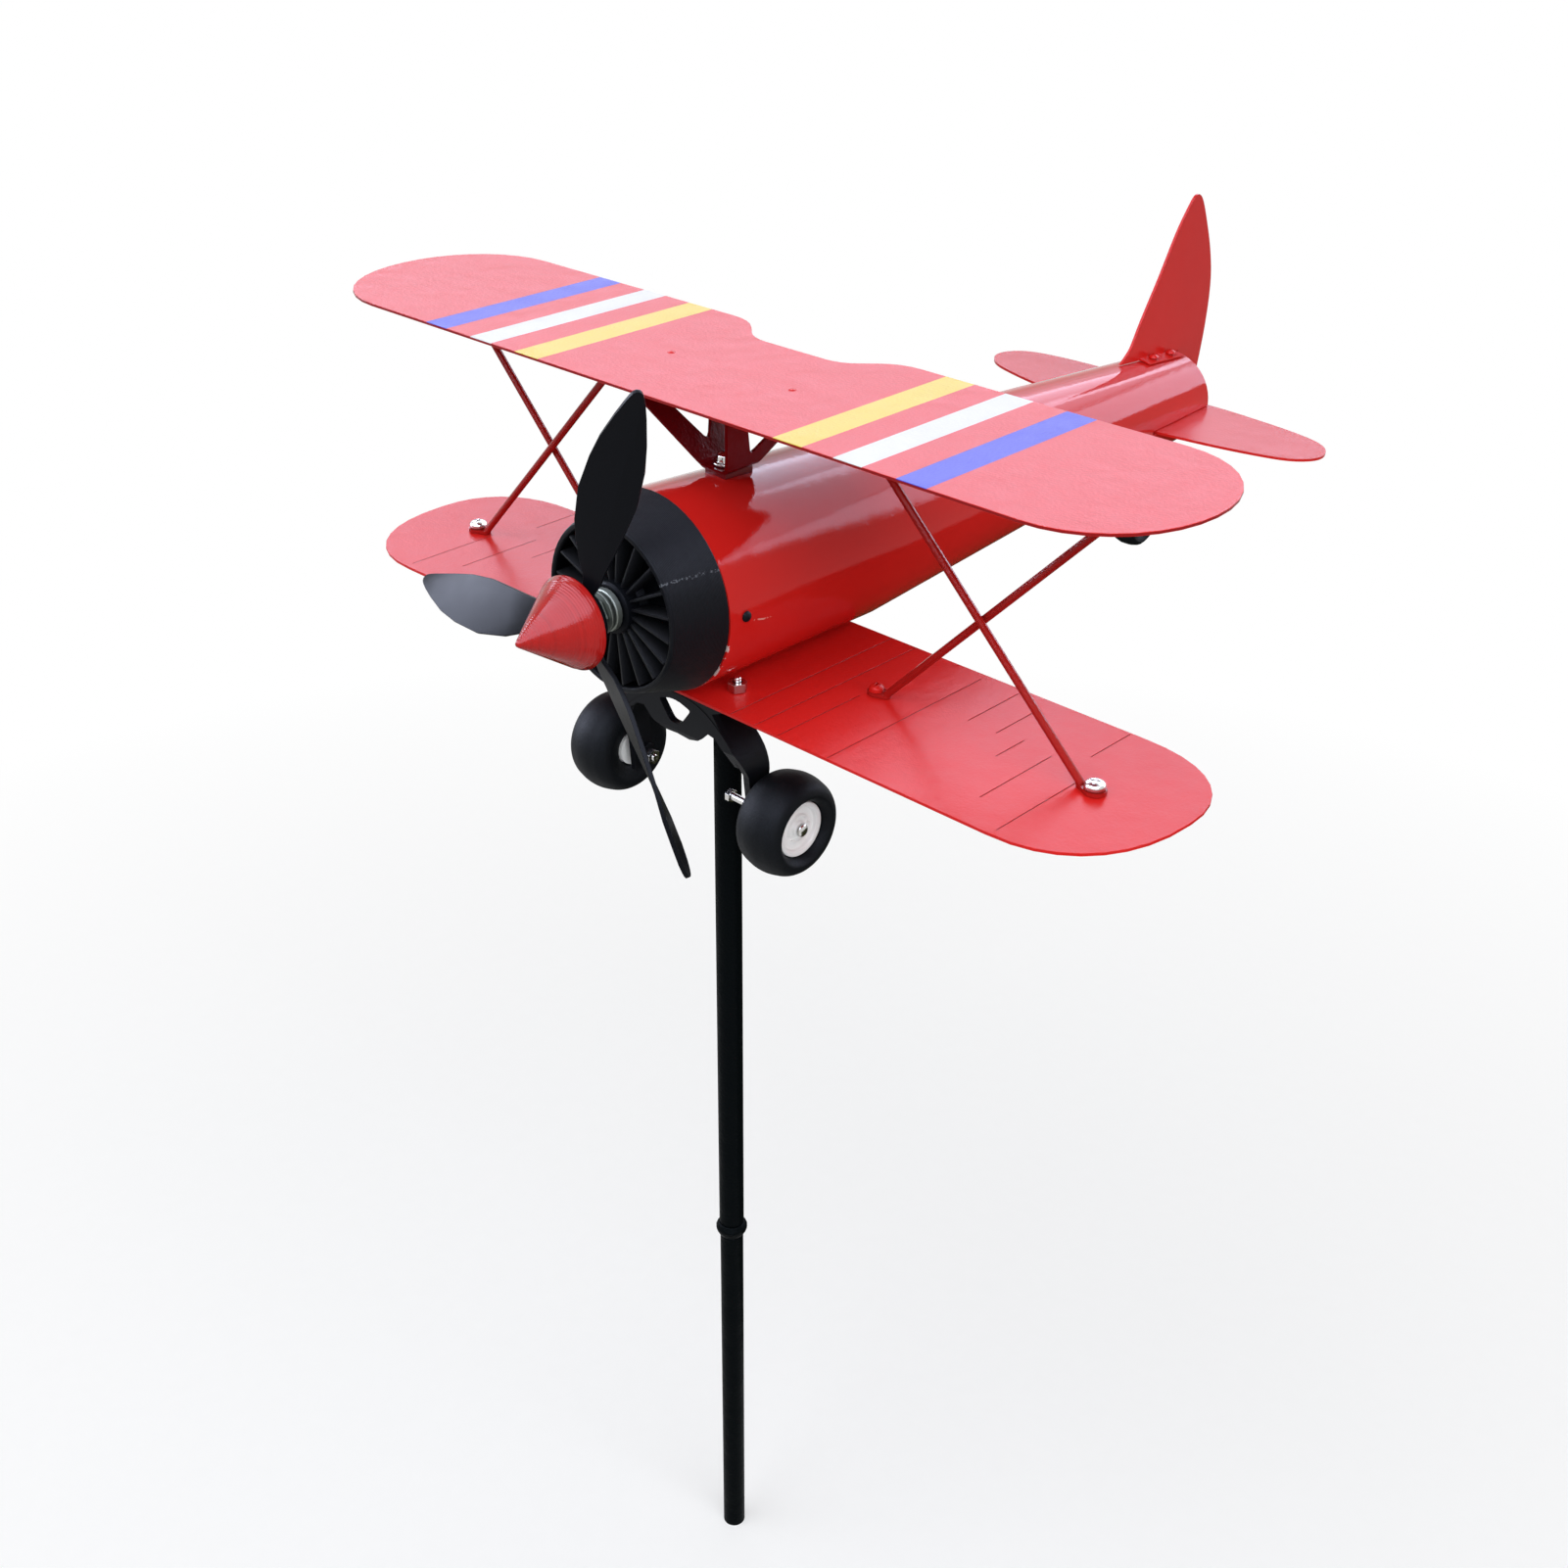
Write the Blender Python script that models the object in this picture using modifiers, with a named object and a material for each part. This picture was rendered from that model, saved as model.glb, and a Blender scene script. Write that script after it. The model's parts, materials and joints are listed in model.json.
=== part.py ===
"""Biplane whirligig on a garden stake, in metres with +Z up.

The nose points along -Y and the port wings along +X. The origin is on the
stake's axis at ground level. Lengths in the constants are millimetres.
"""

from math import cos, pi, radians, sin, sqrt

import bmesh
import bpy
from mathutils import Vector

MM = 0.001
GAP = 0.3  # clearance left between neighbouring pieces

# Heights above the ground
AXIS_HEIGHT = 520.0  # fuselage and propeller axis
STAKE_DEPTH = 83.0  # spike below ground
COUPLING_Z = 194.4  # middle of the pole's joint ring

# Stake
POLE_UPPER_R = 5.5
POLE_LOWER_R = 5.2
POLE_WALL = 1.3
POLE_TOP = -64.0  # from the fuselage axis
COUPLING_R = 7.1
PIN_R = 2.5
PIN_TOP = -47.5  # from the fuselage axis
PIN_FOOT = 2.8  # height of the pin's shoulder over the pole

# Wings, in airframe coordinates: x to port, y aft, z up from the axis
SHEET = 1.2
HALF_SPAN = 198.8
UPPER_LE, UPPER_TE, UPPER_TOP = -36.3, 52.2, 72.3
UPPER_TIP_A, UPPER_TIP_Y = 40.1, 8.6
UPPER_TIP_X = HALF_SPAN - UPPER_TIP_A
LOWER_LE, LOWER_TE, LOWER_TOP = -34.3, 55.0, -38.1
LOWER_TIP_A, LOWER_TIP_Y = 44.7, 17.6
LOWER_TIP_X = HALF_SPAN - 1.1 - LOWER_TIP_A
TIP_POWER_UPPER, TIP_POWER_LOWER = 2.05, 2.3
NOTCH_X, NOTCH_FLOOR_X, NOTCH_DEPTH = 38.0, 22.0, 15.5

# Fuselage stations: y, half width, half height, centre height
FUSE = (
    (-35.9, 38.4, 37.7, -0.7),
    (60.0, 34.4, 36.2, -4.6),
    (293.0, 20.6, 20.0, -4.8),
)
SHELL = 1.2
SIDE_SCREW_Y, SIDE_SCREW_Z, SIDE_SCREW_R = -28.0, -0.8, 1.0

# Cowl and engine
COWL_FRONT_Y, COWL_REAR_Y = -57.9, -36.2
COWL_FRONT_R, COWL_REAR_R = 32.2, 38.3
COWL_WALL, COWL_LIP = 2.2, 1.2
ENGINE_HUB_R = 16.4
ENGINE_BACK_Y, ENGINE_DISC_Y, ENGINE_RIB_Y, ENGINE_BOSS_Y = -46.5, -50.0, -57.2, -58.6
ENGINE_RIBS = 20
FIREWALL_Y0, FIREWALL_Y1 = -34.0, -22.0
BEARING_R, BEARING_FLANGE_R = 4.7, 8.0
SPACER_R = 9.0

# Propeller, in its own frame: y = 0 in the plane of the blades
PROP_Y = -71.7
SHAFT_R = 2.0
HUB_R = 12.5
BLADE_TIP_R = 97.2
BLADE_THICK = 1.6
BLADE_ANGLE = 67.6
BLADE_BEND = ((9.2, -6.1), (-4.5, 13.0), (-3.8, -0.8))  # aft at each tip: even part, growing part
CONE_R, CONE_LENGTH, CONE_STAND = 17.3, 26.0, 2.9

# Struts and screws
STRUT_R = 1.5
TAB_T = 1.4
PAD_R = 3.6
STRUT_OUT_X, STRUT_IN_X = HALF_SPAN - 35.3, 63.2
STRUT_TOP_IN_X = {"port": 46.6, "starboard": 57.6}
STRUT_TOP_OUT_X = HALF_SPAN - 27.8
STRUT_Y_FRONT, STRUT_Y_BACK = 11.0, 14.6
SCREW_R = 1.5
HOLE_R = SCREW_R + GAP
ROOT_X, ROOT_Y = 24.6, -19.0

# Landing gear and wheels
WHEEL_X, WHEEL_Y, WHEEL_Z = 46.6, -15.4, -87.1
TYRE_R, TYRE_HALF = 20.3, 10.9
HUB_FACE = TYRE_HALF - 3.2
RIM_R = 11.4
WELL_R = 7.4
AXLE_R = 1.5
AXLE_END = {"port": 15.6, "starboard": 25.2}
AXLE_NUT = {"port": (2.0, 4.6), "starboard": (2.6, 5.5)}  # height, size across the flats
LEG_T = 3.0
GEAR_Y0, GEAR_Y1 = -28.0, -12.2
GEAR_PAD_X, GEAR_PAD_T = 29.0, 3.0
WEB_T = 3.0
TAIL_WHEEL_Y, TAIL_WHEEL_Z, TAIL_WHEEL_R = 273.0, -62.0, 12.0
TAIL_HUB_R, TAIL_AXLE_R = 6.2, 1.3
BRACKET_Y0, BRACKET_Y1 = TAIL_WHEEL_Y - 13.0, TAIL_WHEEL_Y + 9.0
BRACKET_HALF, BRACKET_T = 9.6, 1.4

# Half outlines of the gear, x and z: the legs' outer face, the web and its window
GEAR_ARCH = (
    (0, -44.6),
    (8.5, -44.8),
    (17.0, -47.6),
    (25.5, -53.6),
    (32.0, -60.5),
    (34.6, -67.5),
    (34.3, -74.0),
    (33.8, -81.0),
    (33.6, -93.0),
)
GEAR_WEB = (
    (20.0, -46.6),
    (28.5, -58.0),
    (31.4, -68.0),
    (29.5, -68.0),
    (25.5, -60.0),
    (21.4, -56.4),
    (17.2, -55.6),
    (11.7, -61.0),
    (6.3, -62.8),
)
GEAR_WEB_FOOT = -62.2
GEAR_WINDOW = ((-8.6, -49.4), (0, -46.9), (8.6, -49.4), (2.6, -57.4), (-2.6, -57.4))
GEAR_TAPER = ((-27.9, -59.5), (-23.4, -69.5), (-21.4, -80.0), (-20.2, -100.0))  # y, z

# Tail
STAB_Z = -6.0
STAB_SWEEP, STAB_RISE = 0.0594, 0.0135  # how far aft and up the starboard half runs, per mm of span
STAB_BEND_X = 18.0  # it bends between these stations, inside the shell
STAB_HALF = (
    (0, 247.0),
    (22, 247.2),
    (46, 249.6),
    (68, 253.6),
    (84, 258.6),
    (92, 267.0),
    (91.5, 276.5),
    (84, 284.6),
    (68, 289.6),
    (40, 293.4),
    (20, 294.6),
    (0, 294.8),
)
TAIL_BLOCK_Y0, TAIL_BLOCK_Y1 = 232.0, 291.6
FIN_T = 1.2
FIN_FOOT_Y = 248.6
FIN_BASE_GAP = 0.45
FIN_EDGE = (
    (256.4, 25.5),
    (262.2, 35.6),
    (273.6, 53.4),
    (283.8, 70.6),
    (291.2, 80.4),
    (295.8, 85.2),
    (299.2, 85.6),
    (302.8, 81.8),
    (307.8, 71.4),
    (312.4, 60.0),
    (315.6, 48.0),
    (316.4, 36.0),
    (315.4, 22.0),
    (313.6, 10.0),
    (311.6, 0.0),
    (308.2, -3.0),
)  # y, z: up the front, over the top and down the rudder
FLANGE_Y0, FLANGE_Y1, FLANGE_REACH = 263.0, 290.6, 6.4
FIN_SCREW_X, FIN_SCREW_R = 3.4, 2.3
FIN_SCREWS_Y = (270.4, 284.0)

SIDES = ((1, "port"), (-1, "starboard"))

COLOURS = {
    "red_paint": ((0.62, 0.02, 0.025, 1), 0.0, 0.22),
    "dark_red_paint": ((0.25, 0.005, 0.01, 1), 0.0, 0.3),
    "red_plastic": ((0.65, 0.03, 0.03, 1), 0.0, 0.4),
    "black_plastic": ((0.012, 0.013, 0.015, 1), 0.0, 0.5),
    "black_paint": ((0.01, 0.011, 0.012, 1), 0.0, 0.35),
    "rubber": ((0.011, 0.012, 0.014, 1), 0.0, 0.6),
    "white_plastic": ((0.75, 0.75, 0.73, 1), 0.0, 0.4),
    "steel": ((0.7, 0.7, 0.7, 1), 1.0, 0.25),
    "brass": ((0.6, 0.42, 0.18, 1), 1.0, 0.35),
}


# ---------------------------------------------------------------- helpers


def clear_scene():
    for obj in list(bpy.data.objects):
        bpy.data.objects.remove(obj, do_unlink=True)


def new_collection(name):
    made = bpy.data.collections.new(name)
    bpy.context.scene.collection.children.link(made)
    return made


def material_for(name, colour, metallic, roughness):
    made = bpy.data.materials.new(name)
    made.use_nodes = True
    shader = made.node_tree.nodes["Principled BSDF"]
    shader.inputs["Base Color"].default_value = colour
    shader.inputs["Metallic"].default_value = metallic
    shader.inputs["Roughness"].default_value = roughness
    made.diffuse_color = colour
    return made


def empty(name, at, parent=None):
    made = bpy.data.objects.new(name, None)
    made.empty_display_size = 0.02
    made.location = Vector(at) * MM
    made.parent = parent
    PARTS.objects.link(made)
    return made


def place(name, mesh, parent, finish):
    """Adds a node with its own material."""
    made = bpy.data.objects.new(name, mesh)
    made.parent = parent
    colour, metallic, roughness = COLOURS[finish]
    mesh.materials.append(material_for(f"{name}_{finish}", colour, metallic, roughness))
    PARTS.objects.link(made)
    return made


def helper(name, mesh, parent):
    """Adds a cutter or a tool body, which isn't a node."""
    made = bpy.data.objects.new(name, mesh)
    made.parent = parent
    made.hide_render = True
    made.display_type = "WIRE"
    CUTTERS.objects.link(made)
    return made


def boolean(target, tool, operation="DIFFERENCE"):
    made = target.modifiers.new(f"{operation.lower()}_{tool.name}", "BOOLEAN")
    made.operation = operation
    made.solver = "EXACT"
    made.object = tool


def mesh_from(name, bm):
    bmesh.ops.recalc_face_normals(bm, faces=bm.faces)
    mesh = bpy.data.meshes.new(name)
    bm.to_mesh(mesh)
    bm.free()
    return mesh


def turned(name, profile, parent, finish, about="Z", at=(0, 0, 0), steps=32, ring=False):
    """Revolves (radius, station) pairs, listed down the outer side from the top station."""
    obj = place(name, profile_mesh(name, profile, ring), parent, finish)
    return spun(obj, about, at, steps)


def profile_mesh(name, profile, ring):
    mesh = bpy.data.meshes.new(name)
    points = [(r * MM, 0, z * MM) for r, z in profile]
    edges = [(i, i + 1) for i in range(len(points) - 1)]
    if ring:
        edges.append((len(points) - 1, 0))
    mesh.from_pydata(points, edges, [])
    return mesh


def spun(obj, about, at, steps):
    screw = obj.modifiers.new("turn", "SCREW")
    screw.axis = "Z"
    screw.angle = 2 * pi
    screw.steps = steps
    screw.render_steps = steps
    screw.use_merge_vertices = True
    screw.merge_threshold = 0.00001
    if about == "Y":
        obj.rotation_euler = (-pi / 2, 0, 0)
    if about == "X":
        obj.rotation_euler = (0, pi / 2, 0)
    obj.location = Vector(at) * MM
    return obj


def prism(points, axis, low, high):
    """A closed mesh from an outline in the plane across `axis`, between two stations on it."""
    across = "XYZ".index(axis)

    def at(u, v, w):
        return Vector((u, v)[:across] + (w,) + (u, v)[across:]) * MM

    bm = bmesh.new()
    face = bm.faces.new([bm.verts.new(at(u, v, low)) for u, v in points])
    pushed = bmesh.ops.extrude_face_region(bm, geom=[face])
    step = at(0, 0, high - low)
    moved = [e for e in pushed["geom"] if isinstance(e, bmesh.types.BMVert)]
    bmesh.ops.translate(bm, verts=moved, vec=step)
    return bm


def box(x0, x1, y0, y1, z0, z1):
    return prism([(x0, y0), (x1, y0), (x1, y1), (x0, y1)], "Z", z0, z1)


def rod(start, end, radius, sides=10):
    """A closed cylinder between two points."""
    bm = bmesh.new()
    a, b = Vector(start) * MM, Vector(end) * MM
    along = b - a
    bmesh.ops.create_cone(
        bm, cap_ends=True, segments=sides, radius1=radius * MM, radius2=radius * MM, depth=along.length
    )
    turn = along.to_track_quat("Z", "Y").to_matrix()
    bmesh.ops.rotate(bm, verts=bm.verts, matrix=turn)
    bmesh.ops.translate(bm, verts=bm.verts, vec=(a + b) / 2)
    return bm


def round_corner(points, index, radius, steps=5):
    """Replaces a corner of an outline by an arc that starts and ends `radius` from it."""
    p = Vector(points[index])
    before = (Vector(points[index - 1]) - p).normalized() * radius
    after = (Vector(points[(index + 1) % len(points)]) - p).normalized() * radius
    arc = []
    for i in range(steps + 1):
        t = i / steps
        arc.append(tuple(p + before * (1 - t) ** 2 + after * t**2))
    return points[:index] + arc + points[index + 1 :]


def rounded(points, radii, steps=4):
    """Rounds several corners; `radii` maps a corner's index to its radius."""
    for index in sorted(radii, reverse=True):
        points = round_corner(points, index, radii[index], steps)
    return points


def smooth_through(points, steps=6):
    """A Catmull-Rom curve through the points."""
    found = []
    for i in range(len(points) - 1):
        p0 = Vector(points[max(i - 1, 0)])
        p1, p2 = Vector(points[i]), Vector(points[i + 1])
        p3 = Vector(points[min(i + 2, len(points) - 1)])
        for k in range(steps):
            t = k / steps
            q = 2 * p1 + (p2 - p0) * t
            q += (2 * p0 - 5 * p1 + 4 * p2 - p3) * t**2
            q += (3 * p1 - p0 - 3 * p2 + p3) * t**3
            found.append(tuple(q / 2))
    found.append(tuple(points[-1]))
    return found


def wing_tip(side, centre_x, reach, centre_y, front, back, power, steps=18):
    """Half of a superellipse, from the leading edge round to the trailing edge."""
    points = []
    for i in range(steps + 1):
        a = -pi / 2 + pi * i / steps
        x = centre_x + reach * abs(cos(a)) ** (2 / power)
        s = abs(sin(a)) ** (2 / power)
        y = centre_y + s * (back - centre_y) if a > 0 else centre_y - s * (centre_y - front)
        points.append((side * x, y))
    return points


def section(y):
    """Half width, half height and centre height of the fuselage at y."""
    for (y0, *low), (y1, *high) in zip(FUSE, FUSE[1:]):
        if y <= y1 or y1 == FUSE[-1][0]:
            t = (y - y0) / (y1 - y0)
            return [a + (b - a) * t for a, b in zip(low, high)]


def cowl_inner(y):
    """Inner radius of the cowl at y."""
    t = (y - COWL_FRONT_Y - COWL_LIP) / (COWL_REAR_Y - COWL_FRONT_Y - COWL_LIP)
    return COWL_FRONT_R + (COWL_REAR_R - COWL_FRONT_R) * t - COWL_WALL


def ridge(y):
    _, half_height, centre = section(y)
    return centre + half_height


def belly(y):
    _, half_height, centre = section(y)
    return centre - half_height


# ------------------------------------------------------------------ stake


def ground_spike(parent):
    shank = POLE_LOWER_R - POLE_WALL - GAP
    top = -22.0
    profile = [
        (0, top + 24),
        (shank - 0.6, top + 24),
        (shank, top + 23),
        (shank, top),
        (POLE_LOWER_R, top),
        (POLE_LOWER_R, top - 12),
        (0.9, 1.0 - STAKE_DEPTH),
        (0, -STAKE_DEPTH),
    ]
    turned("ground_spike", profile, parent, "black_paint", steps=18)


def pole_tube(name, outer, bottom, top, parent):
    inner = outer - POLE_WALL
    profile = [
        (inner, top),
        (outer - 0.4, top),
        (outer, top - 0.4),
        (outer, bottom + 0.4),
        (outer - 0.4, bottom),
        (inner, bottom),
    ]
    turned(name, profile, parent, "black_paint", steps=24, ring=True)


def pole_coupling(parent):
    """A turned joint: a plug into each tube and a flared ring between them."""
    up, down = POLE_UPPER_R - POLE_WALL - GAP, POLE_LOWER_R - POLE_WALL - GAP
    profile = [
        (0, 18),
        (up - 0.8, 18),
        (up, 17),
        (up, 2.6),
        (POLE_UPPER_R + 0.3, 2.6),
        (COUPLING_R - 0.5, 1.2),
        (COUPLING_R, 0.3),
        (COUPLING_R - 0.2, -1.4),
        (POLE_LOWER_R + 0.6, -3.6),
        (POLE_LOWER_R + 0.3, -4.2),
        (down, -4.2),
        (down, -20),
        (down - 0.8, -21),
        (0, -21),
    ]
    turned("pole_coupling", profile, parent, "black_paint", at=(0, 0, COUPLING_Z), steps=20)


def swivel_pin(parent):
    """Plugs the pole and carries the airframe on a slim pin."""
    plug = POLE_UPPER_R - POLE_WALL - GAP
    base = POLE_TOP
    profile = [
        (0, PIN_TOP),
        (PIN_R - 1.0, PIN_TOP - 0.3),
        (PIN_R, PIN_TOP - 1.4),
        (PIN_R, base + PIN_FOOT),
        (POLE_UPPER_R - 0.4, base + PIN_FOOT),
        (POLE_UPPER_R, base + PIN_FOOT - 0.4),
        (POLE_UPPER_R, base + GAP),
        (plug, base + GAP),
        (plug, base - 24),
        (plug - 0.8, base - 25),
        (0, base - 25),
    ]
    turned("swivel_pin", profile, parent, "steel", at=(0, 0, AXIS_HEIGHT), steps=20)


def build_stake(parent):
    ground_spike(parent)
    pole_tube("pole_lower", POLE_LOWER_R, -21.7, COUPLING_Z - 4.2 - GAP, parent)
    pole_coupling(parent)
    pole_tube("pole_upper", POLE_UPPER_R, COUPLING_Z + 2.6 + GAP, AXIS_HEIGHT + POLE_TOP, parent)
    swivel_pin(parent)


# --------------------------------------------------------------- airframe


def swivel_socket(parent):
    bore = PIN_R + GAP
    foot = POLE_TOP + PIN_FOOT + GAP
    top = LOWER_TOP - SHEET - GAP
    roof = PIN_TOP + GAP
    profile = [
        (0, top),
        (11.5, top),
        (12.0, top - 0.4),
        (12.0, top - 2.2),
        (POLE_UPPER_R + 1.6, top - 3.0),
        (POLE_UPPER_R, top - 5.0),
        (POLE_UPPER_R, foot + 0.5),
        (POLE_UPPER_R - 0.4, foot),
        (bore, foot),
        (bore, roof - 0.2),
        (bore - 0.6, roof),
        (0, roof),
    ]
    turned("swivel_socket", profile, parent, "black_paint", steps=22)


def hole_tool(name, x, y, parent):
    hole = rod((x, y, LOWER_TOP - 9), (x, y, LOWER_TOP + 6), HOLE_R, 12)
    return helper(name, mesh_from(name, hole), parent)


def lower_wing(parent):
    """Flat plate with rounded tips and a hole for each screw."""
    tip = wing_tip(
        1, LOWER_TIP_X, LOWER_TIP_A, LOWER_TIP_Y, LOWER_LE, LOWER_TE, TIP_POWER_LOWER
    )
    outline = tip + [(-x, y) for x, y in reversed(tip)]
    bm = prism(outline, "Z", LOWER_TOP - SHEET, LOWER_TOP)
    wing = place("lower_wing", mesh_from("lower_wing", bm), parent, "red_paint")
    for side, tag in SIDES:
        for label, x, y in screw_places():
            boolean(wing, hole_tool(f"hole_{label}_{tag}", side * x, y, parent))


def screw_places():
    return (
        ("outer", STRUT_OUT_X, STRUT_Y_FRONT),
        ("inner", STRUT_IN_X, STRUT_Y_BACK),
        ("root", ROOT_X, ROOT_Y),
    )


def upper_wing(parent):
    """Flat plate with rounded tips and a notch in the middle of its trailing edge."""
    tip = wing_tip(
        1, UPPER_TIP_X, UPPER_TIP_A, UPPER_TIP_Y, UPPER_LE, UPPER_TE, TIP_POWER_UPPER
    )
    floor = UPPER_TE - NOTCH_DEPTH
    notch = [(NOTCH_X, UPPER_TE), (NOTCH_FLOOR_X, floor), (-NOTCH_FLOOR_X, floor), (-NOTCH_X, UPPER_TE)]
    outline = tip + notch_outline(notch) + [(-x, y) for x, y in reversed(tip)]
    bm = prism(outline, "Z", UPPER_TOP - SHEET, UPPER_TOP)
    place("upper_wing", mesh_from("upper_wing", bm), parent, "red_paint")


def notch_outline(corners):
    reach = 2.5 * NOTCH_X
    path = [(reach, corners[0][1])] + corners + [(-reach, corners[-1][1])]
    path = rounded(path, {1: 9.0, 2: 7.0, 3: 7.0, 4: 9.0})
    return path[1:-1]


def fuselage_shell(parent):
    """A rolled sheet with straight sides between stations, slotted for the stabiliser."""
    sides = 48
    bm = bmesh.new()
    rings = []
    for y, half_width, half_height, centre in FUSE:
        ring = []
        for i in range(sides):
            a = 2 * pi * i / sides
            at = Vector((half_width * cos(a), y, centre + half_height * sin(a)))
            ring.append(bm.verts.new(at * MM))
        rings.append(ring)
    for low, high in zip(rings, rings[1:]):
        for i in range(sides):
            j = (i + 1) % sides
            bm.faces.new((low[i], low[j], high[j], high[i]))
    shell = place("fuselage_shell", mesh_from("fuselage_shell", bm), parent, "red_paint")
    wall = shell.modifiers.new("wall", "SOLIDIFY")
    wall.thickness = SHELL * MM
    wall.offset = -1
    wall.use_even_offset = True
    front, width = FUSE[0][:2]
    tools = {
        "belly_flat": box(-width, width, 1.5 * front, LOWER_TE + GAP, 2 * LOWER_TOP, LOWER_TOP + GAP),
        "stabiliser_slot": tail_slot(2.0),
    }
    for name, bm in tools.items():
        boolean(shell, helper(name, mesh_from(name, bm), parent))
    side_holes(shell, "shell", parent)


def tail_slot(ahead):
    """Cutter for the tailplane's slot, open at the rear."""
    start, width = STAB_HALF[0][1] - ahead, 1.5 * FUSE[-1][1]
    return skewed(box(-width, width, start, FUSE[-1][0] + 9, STAB_Z - SHEET - GAP, STAB_Z + GAP))


def skewed(bm):
    """Sweeps the starboard half of the tailplane, or of its slot, aft and up from a bend in the shell."""
    for x in (-STAB_BEND_X, STAB_BEND_X):
        geom = bm.verts[:] + bm.edges[:] + bm.faces[:]
        bmesh.ops.bisect_plane(bm, geom=geom, plane_co=(x * MM, 0, 0), plane_no=(1, 0, 0))
    tip = max(x for x, _ in STAB_HALF)
    for vert in bm.verts:
        x = vert.co.x / MM
        run = (tip + STAB_BEND_X) * min(max((STAB_BEND_X - x) / (2 * STAB_BEND_X), 0), 1)
        if x < -STAB_BEND_X:
            run = tip - x
        vert.co += Vector((0, run * STAB_SWEEP, run * STAB_RISE)) * MM
    return bm


def side_holes(target, label, parent):
    """Holes for the two screws that join the shell and the firewall."""
    y, z = SIDE_SCREW_Y, SIDE_SCREW_Z
    reach = section(y)[0]
    for side, tag in SIDES:
        name = f"{label}_hole_{tag}"
        bm = rod((side * reach * 0.6, y, z), (side * reach * 1.3, y, z), SIDE_SCREW_R + GAP, 12)
        boolean(target, helper(name, mesh_from(name, bm), parent))


def firewall(parent):
    """Bulkhead in the fuselage nose that seats the rear bearing."""
    edge = ridge(FIREWALL_Y1) - SHELL - 2 * GAP
    bore = BEARING_R + GAP
    profile = [
        (bore, FIREWALL_Y1),
        (edge - 0.5, FIREWALL_Y1),
        (edge, FIREWALL_Y1 - 0.5),
        (edge, FIREWALL_Y0 + 0.5),
        (edge - 0.5, FIREWALL_Y0),
        (bore, FIREWALL_Y0),
    ]
    wall = turned("firewall", profile, parent, "black_plastic", "Y", steps=36, ring=True)
    side_holes(wall, "firewall", parent)


def side_screw(side, tag, parent):
    """Pan-head screw through the shell into the firewall."""
    r = SIDE_SCREW_R
    profile = [(0, 1.5), (r + 0.1, 1.3), (r + 0.9, 0.7), (r + 1.1, 0), (r, 0), (r, -9.5), (0, -10)]
    at = (side * (section(SIDE_SCREW_Y)[0] + 0.25), SIDE_SCREW_Y, SIDE_SCREW_Z)
    made = turned(f"side_screw_{tag}", profile, parent, "black_paint", "X", at, 12)
    if side < 0:
        made.rotation_euler = (0, -pi / 2, 0)


def cowl_ring(parent):
    """Slightly conical ring with a rolled front lip."""
    y0, y1, r0, r1 = COWL_FRONT_Y, COWL_REAR_Y, COWL_FRONT_R, COWL_REAR_R
    profile = [
        (r1 - COWL_WALL, y1),
        (r1 - 0.3, y1),
        (r1, y1 - 0.4),
        (r0 + 0.25, y0 + COWL_LIP),
        (r0 - 0.3, y0 + 0.2),
        (r0 - 1.1, y0),
        (r0 - 1.9, y0 + 0.3),
        (r0 - COWL_WALL, y0 + COWL_LIP),
    ]
    turned("cowl_ring", profile, parent, "black_plastic", "Y", steps=56, ring=True)


def engine_face(parent):
    """Disc and boss with radial fins, inside the cowl."""
    bore, room = BEARING_R + GAP, GAP + 1.0
    profile = [
        (bore, ENGINE_BACK_Y),
        (cowl_inner(ENGINE_BACK_Y) - room, ENGINE_BACK_Y),
        (cowl_inner(ENGINE_DISC_Y) - room, ENGINE_DISC_Y),
        (ENGINE_HUB_R, ENGINE_DISC_Y),
        (ENGINE_HUB_R, ENGINE_RIB_Y - 0.2),
        (ENGINE_HUB_R - 1.2, ENGINE_BOSS_Y),
        (bore, ENGINE_BOSS_Y),
    ]
    face = turned("engine_face", profile, parent, "black_plastic", "Y", steps=40, ring=True)
    bm = bmesh.new()
    for i in range(ENGINE_RIBS):
        rib_at(bm, 2 * pi * (i + 0.5) / ENGINE_RIBS)
    ribs = helper("engine_ribs", mesh_from("engine_ribs", bm), parent)
    boolean(face, ribs, "UNION")


def rib_at(bm, angle):
    """One radial fin, thinner at its front edge."""
    out = Vector((cos(angle), 0, sin(angle)))
    across = Vector((-sin(angle), 0, cos(angle)))
    inner, outer = ENGINE_HUB_R - 1.0, cowl_inner(COWL_FRONT_Y + COWL_LIP) - 2 * GAP
    corners = []
    for y, half in ((ENGINE_DISC_Y + 1.0, 0.75), (ENGINE_RIB_Y, 0.4)):
        for r in (inner, outer):
            for s in (-half, half):
                corners.append(bm.verts.new((out * r + across * s + Vector((0, y, 0))) * MM))
    a, b, c, d, e, f, g, h = corners
    for loop in ((a, b, d, c), (e, g, h, f), (a, e, f, b), (c, d, h, g), (a, c, g, e), (b, f, h, d)):
        bm.faces.new(loop)


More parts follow.
